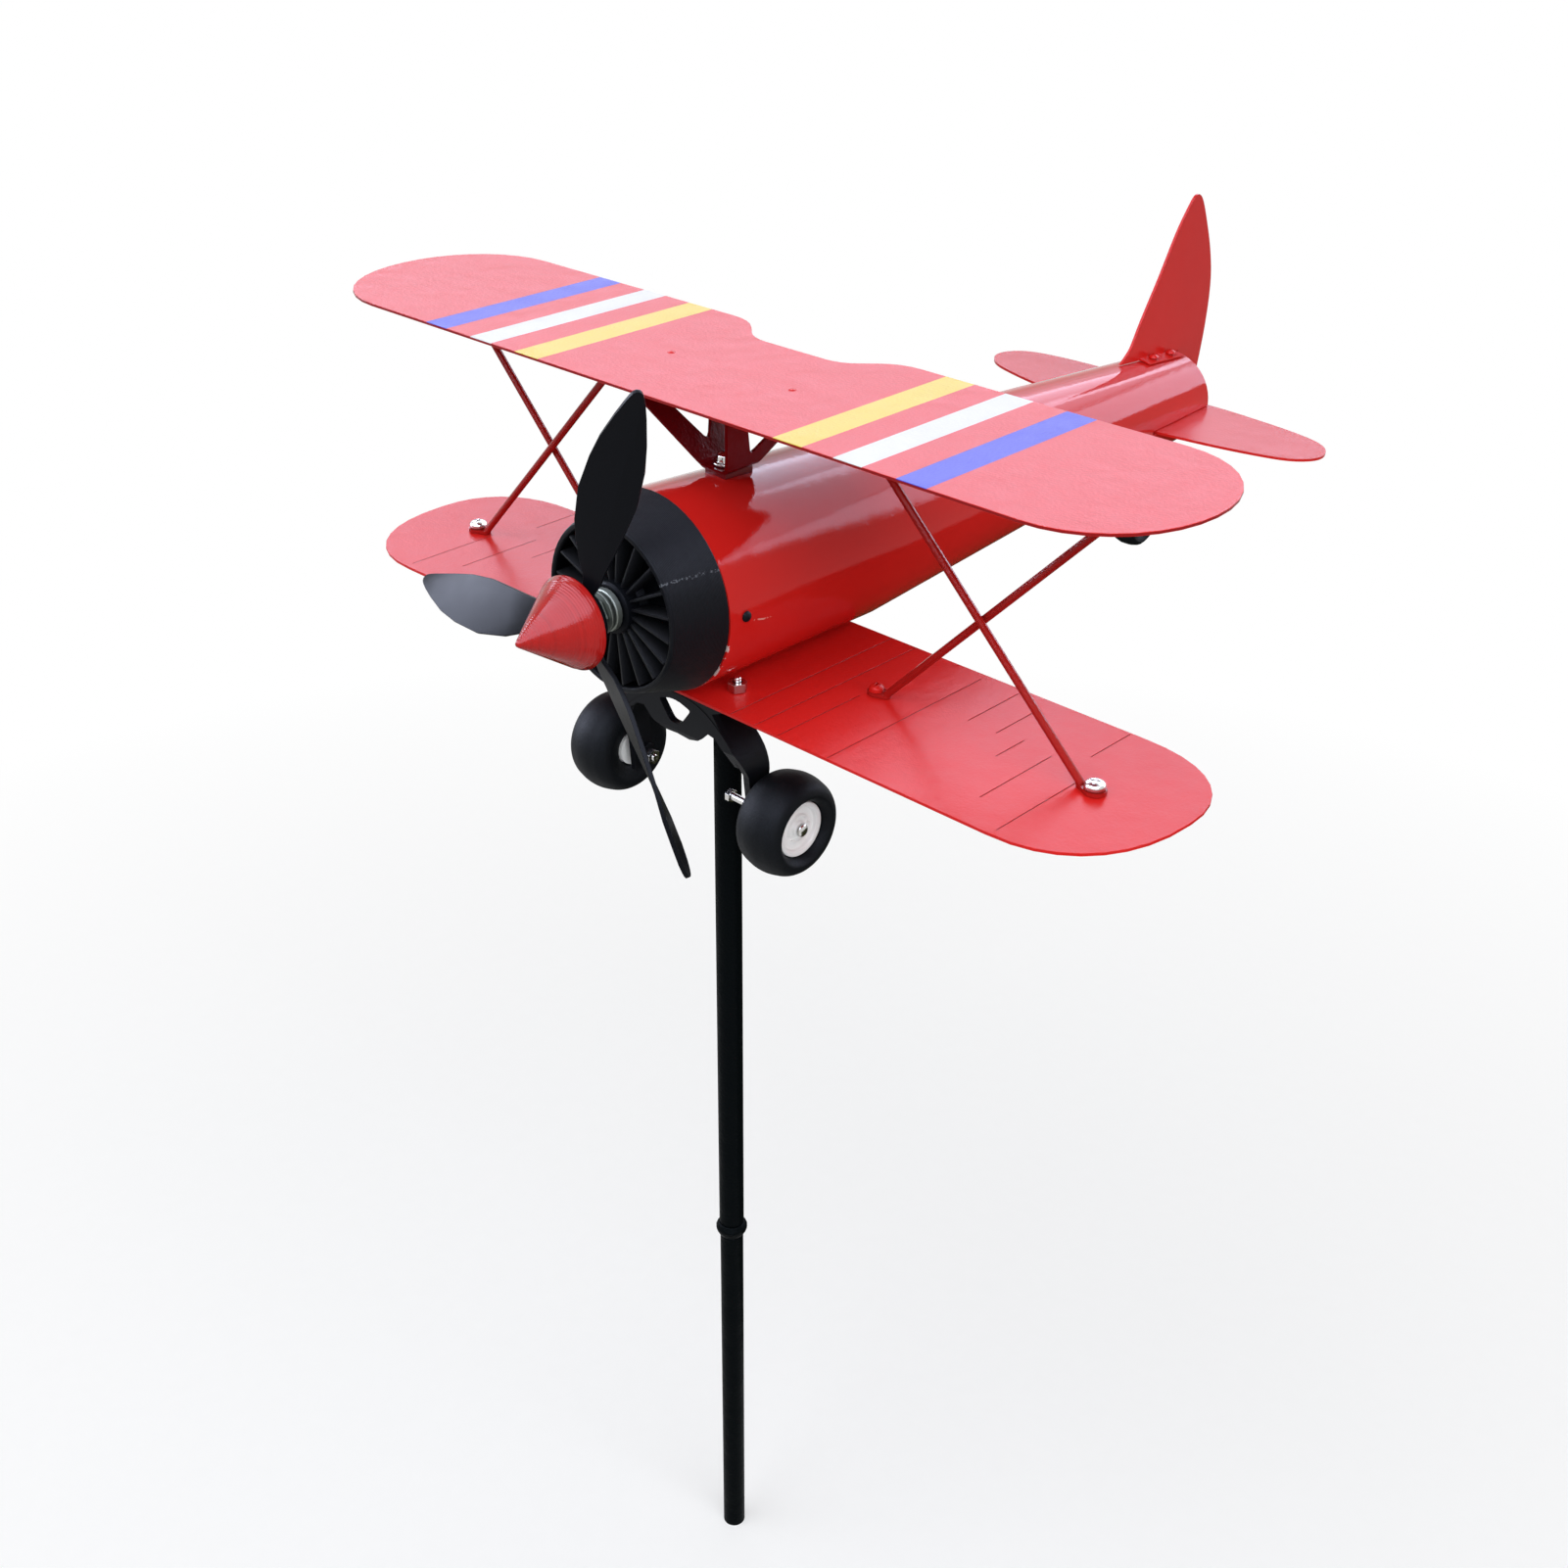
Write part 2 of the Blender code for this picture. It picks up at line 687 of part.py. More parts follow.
def bearings(parent):
    inner, outer, flange = SHAFT_R + GAP, BEARING_R, BEARING_FLANGE_R
    seat = ENGINE_BOSS_Y - GAP
    front = [
        (inner, ENGINE_BACK_Y - 0.5),
        (outer, ENGINE_BACK_Y - 0.5),
        (outer, seat),
        (flange, seat),
        (flange, seat - 2.2),
        (flange - 0.4, seat - 2.6),
        (inner, seat - 2.6),
    ]
    turned("front_bearing", front, parent, "steel", "Y", steps=20, ring=True)
    seat = FIREWALL_Y1 + GAP
    rear = [
        (inner, seat + 0.7),
        (flange - 1.0, seat + 0.7),
        (flange - 1.0, seat),
        (outer, seat),
        (outer, FIREWALL_Y0),
        (inner, FIREWALL_Y0),
    ]
    turned("rear_bearing", rear, parent, "brass", "Y", steps=18, ring=True)


def bearing_tube(parent):
    """Spacer between the firewall and the engine face."""
    inner, back, front = BEARING_R + 0.7, FIREWALL_Y0 - GAP, ENGINE_BACK_Y + GAP
    profile = [(inner, back), (SPACER_R, back), (SPACER_R, front), (inner, front)]
    turned("bearing_spacer", profile, parent, "black_plastic", "Y", steps=18, ring=True)


# Cabane, struts and their screws

CABANE_HALF = 6.0
CABANE_TOP_X, CABANE_FLANGE = 26.5, 8.0
CABANE_Y = 2.0
CABANE_BASE, CABANE_SPREAD, CABANE_ARM = 8.0, 26.4, 9.0
CABANE_TOP = UPPER_TOP - SHEET - GAP
CABANE_SEAT = 36.9


def cabane_bracket(parent):
    """Bent sheet: a saddle on the fuselage, two leaning open sides and flanges under the wing."""
    seat = CABANE_SEAT
    path = [
        (-CABANE_TOP_X - CABANE_FLANGE, CABANE_TOP),
        (-CABANE_TOP_X, CABANE_TOP),
        (-CABANE_HALF, seat + SHEET),
        (CABANE_HALF, seat + SHEET),
        (CABANE_TOP_X, CABANE_TOP),
        (CABANE_TOP_X + CABANE_FLANGE, CABANE_TOP),
    ]
    path = rounded(path, {1: 2.0, 2: 2.0, 3: 2.0, 4: 2.0}, 3)
    bm = bmesh.new()
    low, high = [
        [bm.verts.new(Vector((x, y, z)) * MM) for x, z in path]
        for y in (CABANE_Y - CABANE_SPREAD, CABANE_Y + CABANE_SPREAD)
    ]
    for i in range(len(path) - 1):
        bm.faces.new((low[i], high[i], high[i + 1], low[i + 1]))
    mesh = bpy.data.meshes.new("cabane_bracket")
    bm.to_mesh(mesh)
    bm.free()
    bracket = place("cabane_bracket", mesh, parent, "dark_red_paint")
    wall = bracket.modifiers.new("wall", "SOLIDIFY")
    wall.thickness = SHEET * MM
    wall.offset = 1
    wall.use_even_offset = True
    top = CABANE_TOP - SHEET - 1.6
    mid, base, spread = CABANE_Y, CABANE_BASE, CABANE_SPREAD
    window = [(mid - spread + CABANE_ARM, top), (mid + spread - CABANE_ARM, top), (mid, seat + 7.0)]
    ahead = mid - 1.6 * spread
    low = seat - 4
    front = [(ahead, low), (mid - base, low), (mid - base, seat + 1), (mid - spread, top), (ahead, top)]
    back = [(2 * mid - y, z) for y, z in front]
    shapes = {
        "cabane_window": rounded(window, {0: 2.0, 1: 2.0, 2: 3.0}, 3),
        "cabane_front": front,
        "cabane_back": back,
    }
    wide = 2 * CABANE_TOP_X
    for name, outline in shapes.items():
        boolean(bracket, helper(name, mesh_from(name, prism(outline, "X", -wide, wide)), parent))
    hole = rod((0, 0, seat - 2), (0, 0, seat + 4), HOLE_R, 12)
    boolean(bracket, helper("cabane_hole", mesh_from("cabane_hole", hole), parent))


def cabane_screw(parent):
    """Pan-head screw with its washer, on the saddle."""
    base = CABANE_SEAT + SHEET + GAP
    profile = [
        (0, base + 4.6),
        (1.6, base + 4.5),
        (3.0, base + 3.6),
        (3.3, base + 2.2),
        (3.3, base + 1.1),
        (4.6, base + 1.0),
        (4.6, base),
        (SCREW_R, base),
        (SCREW_R, base - 1.8),
        (0, base - 1.9),
    ]
    turned("cabane_screw", profile, parent, "steel", steps=14)


def tab_outline(x, y, radius, reach, end_radius, steps=6):
    """Outline of a tab: a round eye at (x, y) that narrows to a rounded end at x + reach."""
    lean = 1 if reach > 0 else -1
    points = []
    for i in range(steps + 1):
        a = pi / 2 + pi * i / steps
        points.append((x + lean * radius * cos(a), y + radius * sin(a)))
    for i in range(steps + 1):
        a = -pi / 2 + pi * i / steps
        points.append((x + reach + lean * end_radius * cos(a), y + end_radius * sin(a)))
    return points


def beside(x, y, low, high):
    """Cutter that trims a strut's end flush."""
    wide, deep = 8 * PAD_R, 3 * PAD_R
    return box(x - wide, x + wide, y - deep, y + deep, low, high)


def strut(name, foot, head, reach, parent):
    """A rod with a flat tab on the lower wing and a round pad under the upper one."""
    x, y = foot
    top_x, top_y = head
    low, high = LOWER_TOP + GAP, UPPER_TOP - SHEET - GAP
    lean = 1 if top_x > x else -1
    shift = lean * reach
    start = Vector((x + shift, y, low + 0.9))
    end = Vector((top_x, top_y, high - 0.5))
    bar = place(name, mesh_from(name, rod(start, end, STRUT_R, 10)), parent, "red_paint")
    tab = tab_outline(x, y, reach - 1.1, shift, STRUT_R + 0.4)
    tools = (
        ("tab", prism(tab, "Z", low, low + TAB_T), "UNION"),
        ("pad", rod((top_x, top_y, high - TAB_T), (top_x, top_y, high), PAD_R, 16), "UNION"),
        ("trim", beside(x, y, low - PAD_R, low), "DIFFERENCE"),
        ("cap", beside(top_x, top_y, high, high + PAD_R), "DIFFERENCE"),
        ("bore", rod((x, y, low - 5), (x, y, low + 9), HOLE_R, 12), "DIFFERENCE"),
    )
    for label, bm, operation in tools:
        tool = f"{name}_{label}"
        boolean(bar, helper(tool, mesh_from(tool, bm), parent), operation)


def strut_screw(name, x, y, finish, parent, head=3.8, tall=2.9):
    base = LOWER_TOP + TAB_T + 2 * GAP
    low = LOWER_TOP - SHEET - 3.2
    profile = [
        (0, base + tall),
        (head * 0.45, base + tall - 0.15),
        (head * 0.85, base + tall - 0.8),
        (head, base + tall * 0.45),
        (head, base),
        (SCREW_R, base),
        (SCREW_R, low),
        (0, low),
    ]
    turned(name, profile, parent, finish, at=(x, y, 0), steps=14)


def ring_of(bm, radius, count, z):
    angles = [2 * pi * i / count for i in range(count)]
    return [bm.verts.new(Vector((radius * cos(a), radius * sin(a), z)) * MM) for a in angles]


def hex_nut(name, x, y, base, height, across, bore, finish, parent, axis="Z"):
    """Hexagonal nut with a bore, base at `base` along its axis."""
    r = across / sqrt(3)
    bm = bmesh.new()
    rings = []
    for z in (base, base + height):
        rings.append((ring_of(bm, r, 6, z), ring_of(bm, bore, 18, z)))
    (o0, i0), (o1, i1) = rings
    for i in range(6):
        j = (i + 1) % 6
        bm.faces.new((o0[i], o0[j], o1[j], o1[i]))
        for outer, inner in rings:
            bm.faces.new([outer[i], outer[j]] + [inner[(3 * j - k) % 18] for k in range(4)])
    for i in range(18):
        j = (i + 1) % 18
        bm.faces.new((i0[j], i0[i], i1[i], i1[j]))
    nut = place(name, mesh_from(name, bm), parent, finish)
    nut.location = Vector((x, y, 0)) * MM
    return nut


def root_screw(side, tag, parent):
    """Screw up through the landing gear and the wing, with a nut on top."""
    x, y = side * ROOT_X, ROOT_Y
    top = LOWER_TOP + GAP
    low = LOWER_TOP - SHEET - 2 * GAP - 3.0
    profile = [
        (0, top + 5.4),
        (SCREW_R - 0.4, top + 5.4),
        (SCREW_R, top + 5.0),
        (SCREW_R, low),
        (3.0, low),
        (3.0, low - 1.4),
        (2.2, low - 2.0),
        (0, low - 2.0),
    ]
    turned(f"root_screw_{tag}", profile, parent, "steel", at=(x, y, 0), steps=12)
    hex_nut(f"root_nut_{tag}", x, y, top, 3.4, 6.6, SCREW_R + GAP, "steel", parent)


# Landing gear


def gear_arch():
    """Half of the bent leg's outer face, from the middle to the axle end."""
    return smooth_through(GEAR_ARCH, 3)


def landing_gear(parent):
    """Arched legs, a front web with a diamond window and a pad under the wing, as one moulding."""
    pad_top = LOWER_TOP - SHEET - GAP
    web = prism(gear_web(pad_top), "Y", GEAR_Y0 + 0.2, GEAR_Y0 + 0.2 + WEB_T)
    gear = place("landing_gear", mesh_from("landing_gear", web), parent, "black_plastic")
    outer = gear_arch()
    inner = [(x - LEG_T * a, z - LEG_T * b) for (x, z), (a, b) in zip(outer, normals_of(outer))]
    inner[0] = (0, outer[0][1] - LEG_T)
    leg_x, wide = GEAR_ARCH[-1][0], GEAR_PAD_X
    front, back = GEAR_Y0, GEAR_Y1
    joined = {
        "gear_arch": prism(order_arch(outer, inner), "Y", front, back),
        "gear_pad": box(-wide, wide, front + 0.4, back - 0.2, pad_top - GEAR_PAD_T, pad_top),
        "gear_core": box(-9, 9, front + 0.6, back - 0.4, outer[0][1] - 1.9, pad_top - 0.2),
    }
    for side, tag in SIDES:
        near, far = [(side * x, WHEEL_Y, WHEEL_Z) for x in (leg_x - LEG_T - 1.5, leg_x + 0.7)]
        joined[f"gear_boss_{tag}"] = rod(near, far, AXLE_R + 3.1, 16)
    add_tools(gear, joined, "UNION", parent)
    window = rounded(list(GEAR_WINDOW), {0: 1.5, 1: 3.0, 2: 1.5, 3: 1.8, 4: 1.8}, 3)
    ahead = GEAR_Y0 - 12
    taper = [(ahead, GEAR_TAPER[0][1])] + list(GEAR_TAPER) + [(ahead, GEAR_TAPER[-1][1])]
    cut = {
        "gear_window": prism(window, "Y", front - 3, front + 2 * WEB_T),
        "gear_front_taper": prism(taper, "X", -2 * wide, 2 * wide),
    }
    for side, tag in SIDES:
        x, top = side * ROOT_X, pad_top + 1.6
        near, far = [(side * (leg_x + d), WHEEL_Y, WHEEL_Z) for d in (-14, 10)]
        cut[f"gear_axle_hole_{tag}"] = rod(near, far, AXLE_R + GAP, 12)
        cut[f"gear_pad_hole_{tag}"] = rod((x, ROOT_Y, top - 8), (x, ROOT_Y, top), HOLE_R, 12)
    add_tools(gear, cut, "DIFFERENCE", parent)


def add_tools(target, tools, operation, parent):
    for name, bm in tools.items():
        boolean(target, helper(name, mesh_from(name, bm), parent), operation)


def gear_web(pad_top):
    """Outline of the front web, up to the pad under the wing."""
    half = [(GEAR_PAD_X, pad_top), (GEAR_PAD_X, pad_top - GEAR_PAD_T)] + list(GEAR_WEB)
    return half + [(0, GEAR_WEB_FOOT)] + [(-x, z) for x, z in reversed(half)]


def normals_of(path):
    """Outward unit normals of a path that runs from the middle out and down."""
    found = []
    for i, _ in enumerate(path):
        a, b = Vector(path[max(i - 1, 0)]), Vector(path[min(i + 1, len(path) - 1)])
        d = (b - a).normalized()
        found.append((-d.y, d.x))
    return found


def order_arch(outer, inner):
    """Outline of the whole arch from its right half."""
    right = outer + list(reversed(inner))
    right = [p for p in right if p[0] > 0.01]
    left = [(-x, z) for x, z in reversed(right)]
    return [(0, outer[0][1])] + right + [(0, inner[0][1])] + left


def axle(side, tag, parent):
    """Steel axle through the leg, with a head outside the wheel."""
    face = HUB_FACE
    inner = AXLE_END[tag] - WHEEL_X
    profile = [
        (0, face + 1.6),
        (1.8, face + 1.5),
        (2.6, face + 0.9),
        (2.6, face - 0.1),
        (AXLE_R, face - 0.1),
        (AXLE_R, inner + 0.4),
        (AXLE_R - 0.4, inner),
        (0, inner),
    ]
    made = turned(f"axle_{tag}", profile, parent, "steel", "X", (side * WHEEL_X, WHEEL_Y, WHEEL_Z), 12)
    nut = hex_nut(f"axle_nut_{tag}", 0, 0, inner + 0.6, *AXLE_NUT[tag], AXLE_R + GAP, "steel", parent)
    nut.location = made.location
    nut.rotation_euler = (0, side * pi / 2, 0)
    made.rotation_euler = (0, side * pi / 2, 0)


# Tail


def stabiliser(parent):
    """Flat tailplane with rounded tips, through the slot in the shell."""
    right = smooth_through(STAB_HALF, 4)
    outline = right + [(-x, y) for x, y in reversed(right) if x > 0.01]
    bm = skewed(prism(outline, "Z", STAB_Z - SHEET, STAB_Z))
    place("stabiliser", mesh_from("stabiliser", bm), parent, "red_paint")


def fin(parent):
    """Upright plate with a foot flange to port and a rudder foot behind the shell."""
    back = FUSE[-1][0]
    base = ridge(back) + FIN_BASE_GAP
    front = ridge(FIN_FOOT_Y) + FIN_BASE_GAP
    curve = smooth_through([(FIN_FOOT_Y, front), (FIN_FOOT_Y + 4.0, front + 3.0), *FIN_EDGE[:-1]], 4)
    outline = curve + [FIN_EDGE[-1], (back + 1.6, FIN_EDGE[-1][1]), (back + 1.6, base)]
    plate = place("fin", mesh_from("fin", prism(outline, "X", -FIN_T / 2, FIN_T / 2)), parent, "red_paint")
    boolean(plate, helper("fin_flange", fin_flange(), parent), "UNION")


def flange_drop(y, x):
    """How far the shell falls from its ridge at x."""
    half_width, half_height, _ = section(y)
    return half_height * (1 - sqrt(1 - (x / half_width) ** 2))


def fin_flange():
    """Thin foot flange that follows the shell's slope."""
    bm = bmesh.new()
    ends = []
    for y in (FLANGE_Y0, FLANGE_Y1):
        top = ridge(y) + FIN_BASE_GAP
        low, reach = top - flange_drop(y, FLANGE_REACH), FLANGE_REACH
        loop = [(-0.3, top), (0.4 * reach, top - 0.05), (reach, low + 0.15), (reach, low + 0.75)]
        loop += [(0.4 * reach, top + 0.65), (-0.3, top + 0.9)]
        ends.append([bm.verts.new(Vector((x, y, z)) * MM) for x, z in loop])
    first, last = ends
    bm.faces.new(list(reversed(first)))
    bm.faces.new(last)
    for i in range(len(first)):
        j = (i + 1) % len(first)
        bm.faces.new((first[i], first[j], last[j], last[i]))
    return mesh_from("fin_flange", bm)


def fin_screw(name, y, parent):
    r = FIN_SCREW_R
    top = ridge(y) + FIN_BASE_GAP + 0.7 + GAP
    dome = [(0, top + 1.5), (0.5 * r, top + 1.4), (0.85 * r, top + 0.9), (r, top + 0.2)]
    profile = dome + [(r, top), (0, top)]
    turned(name, profile, parent, "red_paint", at=(FIN_SCREW_X, y, 0), steps=12)


def tail_block(parent):
    """Plug that closes the shell's end and grips the tailplane."""
    sides = 28
    bm = bmesh.new()
    loops = []
    for y in (TAIL_BLOCK_Y0, TAIL_BLOCK_Y1):
        half_width, half_height, centre = section(y)
        a, b = half_width - SHELL - GAP - 0.2, half_height - SHELL - GAP - 0.2
        loop = []
        for i in range(sides):
            t = 2 * pi * i / sides
            loop.append(bm.verts.new(Vector((a * cos(t), y, centre + b * sin(t))) * MM))
        loops.append(loop)
    bm.faces.new(list(reversed(loops[0])))
    bm.faces.new(loops[1])
    for i in range(sides):
        j = (i + 1) % sides
        bm.faces.new((loops[0][i], loops[0][j], loops[1][j], loops[1][i]))
    block = place("tail_block", mesh_from("tail_block", bm), parent, "black_plastic")
    boolean(block, helper("block_slot", mesh_from("block_slot", tail_slot(0.4)), parent))


def tail_bracket(parent):
    """Bent strap under the tail that carries the small wheel."""
    y, z = TAIL_WHEEL_Y, TAIL_WHEEL_Z
    top, half = belly(BRACKET_Y0 - 2.0) - 1.0, BRACKET_HALF
    path = [(-half, z - 4.5), (-half, top), (half, top), (half, z - 4.5)]
    path = rounded(path, {1: 3.0, 2: 3.0}, 4)
    bm = bmesh.new()
    low, high = [
        [bm.verts.new(Vector((u, station, v)) * MM) for u, v in path] for station in (BRACKET_Y0, BRACKET_Y1)
    ]
    for i in range(len(path) - 1):
        bm.faces.new((low[i], low[i + 1], high[i + 1], high[i]))
    mesh = bpy.data.meshes.new("tail_bracket")
    bm.to_mesh(mesh)
    bm.free()
    strap = place("tail_bracket", mesh, parent, "black_paint")
    wall = strap.modifiers.new("wall", "SOLIDIFY")
    wall.thickness = BRACKET_T * MM
    wall.offset = -1
    wall.use_even_offset = True
    ahead, behind = BRACKET_Y0 - 5, BRACKET_Y1 + 8
    first, last = BRACKET_Y0 - 0.5, BRACKET_Y1 + 0.5
    front = [(ahead, top - 3), (first, top - 3), (y - 4.5, z + 4), (y - 4.5, z - 9), (ahead, z - 9)]
    back = [(behind, top - 3), (behind, z - 9), (y + 4.5, z - 9), (y + 4.5, z + 4), (last, top - 3)]
    reach = half + 5
    tools = {
        "bracket_front": prism(front, "X", -reach, reach),
        "bracket_back": prism(back, "X", -reach, reach),
        "bracket_axle_hole": rod((-reach, y, z), (reach, y, z), TAIL_AXLE_R + GAP, 14),
    }
    add_tools(strap, tools, "DIFFERENCE", parent)


def tail_axle(parent):
    r, seat = TAIL_AXLE_R, BRACKET_HALF + 0.4
    profile = [
        (0, seat + 2.0),
        (r + 0.9, seat + 1.6),
        (r + 1.1, seat),
        (r, seat),
        (r, -seat),
        (r + 1.1, -seat),
        (r + 0.9, -seat - 1.6),
        (0, -seat - 2.0),
    ]
    turned("tail_axle", profile, parent, "steel", "X", (0, TAIL_WHEEL_Y, TAIL_WHEEL_Z), 10)


def build_airframe(parent):
    swivel_socket(parent)
    lower_wing(parent)
    upper_wing(parent)
    fuselage_shell(parent)
    firewall(parent)
    cowl_ring(parent)
    engine_face(parent)
    bearings(parent)
    bearing_tube(parent)
    cabane_bracket(parent)
    cabane_screw(parent)
    landing_gear(parent)
    stabiliser(parent)
    fin(parent)
    for label, y in zip(("front", "rear"), FIN_SCREWS_Y):
        fin_screw(f"fin_screw_{label}", y, parent)
    tail_block(parent)
    tail_bracket(parent)
    tail_axle(parent)
    for side, tag in SIDES:
        out_foot = (side * STRUT_OUT_X, STRUT_Y_FRONT)
        out_head = (side * STRUT_TOP_IN_X[tag], STRUT_Y_FRONT)
        in_foot = (side * STRUT_IN_X, STRUT_Y_BACK)
        in_head = (side * STRUT_TOP_OUT_X, STRUT_Y_BACK)
        strut(f"strut_outer_{tag}", out_foot, out_head, 5.4, parent)
        strut(f"strut_inner_{tag}", in_foot, in_head, 4.6, parent)
        strut_screw(f"screw_outer_{tag}", *out_foot, "steel", parent)
        strut_screw(f"screw_inner_{tag}", *in_foot, "red_paint", parent, 2.9, 2.2)
        root_screw(side, tag, parent)
        side_screw(side, tag, parent)
        axle(side, tag, parent)


# ----------------------------------------------------------------- wheels


def build_wheel(side, tag, parent):
    """Balloon tyre on a white hub; the outboard face is the wider one."""
    turn = (0, side * pi / 2, 0)
    tyre = [
        (RIM_R, TYRE_HALF - 3.0),
        (RIM_R + 1.2, TYRE_HALF - 1.2),
        (TYRE_R - 5.1, TYRE_HALF),
        (TYRE_R - 2.9, TYRE_HALF - 0.8),
        (TYRE_R - 1.1, TYRE_HALF - 3.0),
        (TYRE_R - 0.2, 4.6),
        (TYRE_R, 1.5),
        (TYRE_R, -1.5),
        (TYRE_R - 0.2, -4.6),
        (TYRE_R - 1.1, 3.0 - TYRE_HALF),
        (TYRE_R - 2.9, 0.8 - TYRE_HALF),
        (TYRE_R - 5.7, -TYRE_HALF),
        (WELL_R + 2.2, 1.4 - TYRE_HALF),
        (WELL_R, 2.6 - TYRE_HALF),
        (WELL_R, -4.4),
        (RIM_R, -3.4),
    ]
    made = turned(f"tyre_{tag}", tyre, parent, "rubber", "X", steps=30, ring=True)
    made.rotation_euler = turn
    rim, boss, bore = RIM_R - GAP, WELL_R - GAP, AXLE_R + GAP
    face = HUB_FACE
    hub = [
        (bore, face - 0.4),
        (3.4, face - 0.4),
        (4.0, face - 1.6),
        (rim - 2.7, face - 1.6),
        (rim - 2.0, face - 0.3),
        (rim - 0.4, face),
        (rim, face - 0.4),
        (rim, -2.6),
        (boss, -3.9),
        (boss, 2.2 - TYRE_HALF),
        (boss - 0.8, 1.6 - TYRE_HALF),
        (bore, 1.6 - TYRE_HALF),
    ]
    made = turned(f"hub_{tag}", hub, parent, "white_plastic", "X", steps=24, ring=True)
    made.rotation_euler = turn


def build_tail_wheel(parent):
    outer, inner, bore = TAIL_WHEEL_R, TAIL_HUB_R, TAIL_AXLE_R + GAP
    right = [(inner, 4.6), (inner + 1.8, 6.2), (outer - 2.6, 6.5), (outer - 0.8, 5.0), (outer, 2.0)]
    tyre = right + [(r, -x) for r, x in reversed(right)]
    turned("tail_tyre", tyre, parent, "rubber", "X", steps=24, ring=True)
    rim = inner - GAP
    right = [(bore, 7.2), (bore + 1.2, 7.2), (bore + 1.6, 5.0), (rim - 0.3, 4.6), (rim, 4.2)]
    hub = right + [(r, -x) for r, x in reversed(right)]
    turned("tail_hub", hub, parent, "white_plastic", "X", steps=16, ring=True)


# -------------------------------------------------------------- propeller

# share of the span, half chord to the leading side, half chord to the trailing side, pitch
BLADE = (
    (0, 2.4, 2.4, 11.4),
    (0.062, 3.6, 3.4, 14.0),
    (0.133, 7.4, 3.5, 17.0),
    (0.216, 10.6, 4.2, 21.6),
    (0.299, 12.9, 4.9, 25.0),
    (0.465, 14.9, 5.9, 31.4),
    (0.631, 14.2, 4.9, 37.2),
    (0.750, 12.7, 3.0, 43.4),
    (0.868, 10.0, 0.6, 49.0),
    (0.936, 8.2, -1.0, 54.0),
    (0.974, 7.0, -2.2, 56.6),
    (0.991, 6.2, -3.0, 57.6),
    (1, 5.3, -3.9, 58.0),
)


def blade(name, angle, bend, parent):
    """Broad pitched blade, twisted near its root, made as a lofted sheet."""
    out = Vector((cos(angle), 0, sin(angle)))
    across = Vector((-sin(angle), 0, cos(angle)))
    forward = Vector((0, -1, 0))
    bm = bmesh.new()
    rows = []
    root = HUB_R + GAP
    for share, lead, trail, pitch in BLADE:
        radius = root + share * (BLADE_TIP_R - root)
        chord = across * cos(radians(pitch)) + forward * sin(radians(pitch))
        aft = forward * -(bend[0] * share + bend[1] * share**2)
        row = []
        for k in range(4):
            s = -trail + (lead + trail) * k / 3
            row.append(bm.verts.new((out * radius + chord * s + aft) * MM))
        rows.append(row)
    for low, high in zip(rows, rows[1:]):
        for i in range(3):
            bm.faces.new((low[i], low[i + 1], high[i + 1], high[i]))
    mesh = bpy.data.meshes.new(name)
    bm.to_mesh(mesh)
    bm.free()
    made = place(name, mesh, parent, "black_plastic")
    wall = made.modifiers.new("wall", "SOLIDIFY")
    wall.thickness = BLADE_THICK * MM
    wall.offset = 0
    return made


def build_propeller(parent):
    bore = SHAFT_R + 0.15
    hub = [
        (bore, 3.2),
        (8.6, 3.2),
        (HUB_R - 0.5, 2.2),
        (HUB_R, 1.6),
        (HUB_R, -1.8),
        (HUB_R - 0.4, -2.3),
        (bore, -2.3),
    ]
    turned("propeller_hub", hub, parent, "black_plastic", "Y", steps=28, ring=True)
    for i, bend in enumerate(BLADE_BEND):
        blade(f"blade_{i + 1}", radians(BLADE_ANGLE + 120 * i), bend, parent)
    back = -CONE_STAND
    cone = [
        (0, back - 5.0),
        (2.4, back - 5.0),
        (2.4, back),
        (CONE_R - 1.0, back),
        (CONE_R - 0.2, back - 0.3),
        (CONE_R, back - 1.2),
        (CONE_R - 1.0, back - 3.0),
        (1.9, back + 0.8 - CONE_LENGTH),
        (1.0, back + 0.2 - CONE_LENGTH),
        (0, back - CONE_LENGTH),
    ]
    turned("spinner_cone", cone, parent, "red_plastic", "Y", steps=32)
    shaft = [(0, 54.0), (SHAFT_R - 0.4, 54.0), (SHAFT_R, 53.6), (SHAFT_R, -7.4), (0, -7.4)]
    turned("propeller_shaft", shaft, parent, "steel", "Y", steps=16)
    nut = hex_nut("shaft_nut", 0, 0, 4.0, 3.4, 11.0, bore, "steel", parent)
    nut.rotation_euler = (-pi / 2, 0, 0)
    washer = [(bore, 9.0), (7.7, 9.0), (8.1, 8.6), (8.1, 7.8), (bore, 7.8)]
    turned("shaft_washer", washer, parent, "steel", "Y", steps=20, ring=True)
    collar = [(bore, 53.0), (4.6, 53.0), (4.6, 52.2), (bore, 52.2)]
    turned("shaft_collar", collar, parent, "steel", "Y", steps=16, ring=True)


# ------------------------------------------------------------------- main

clear_scene()
PARTS = new_collection("biplane_whirligig")
CUTTERS = new_collection("cutters")
CUTTERS.hide_render = True

GROUND = empty("ground_point", (0, 0, 0))
YAW = empty("yaw_axis", (0, 0, AXIS_HEIGHT), GROUND)
PROPELLER = empty("propeller_axis", (0, PROP_Y, 0), YAW)
WHEEL_PORT = empty("wheel_port_axis", (WHEEL_X, WHEEL_Y, WHEEL_Z), YAW)
WHEEL_STARBOARD = empty("wheel_starboard_axis", (-WHEEL_X, WHEEL_Y, WHEEL_Z), YAW)
TAIL_WHEEL = empty("tail_wheel_axis", (0, TAIL_WHEEL_Y, TAIL_WHEEL_Z), YAW)

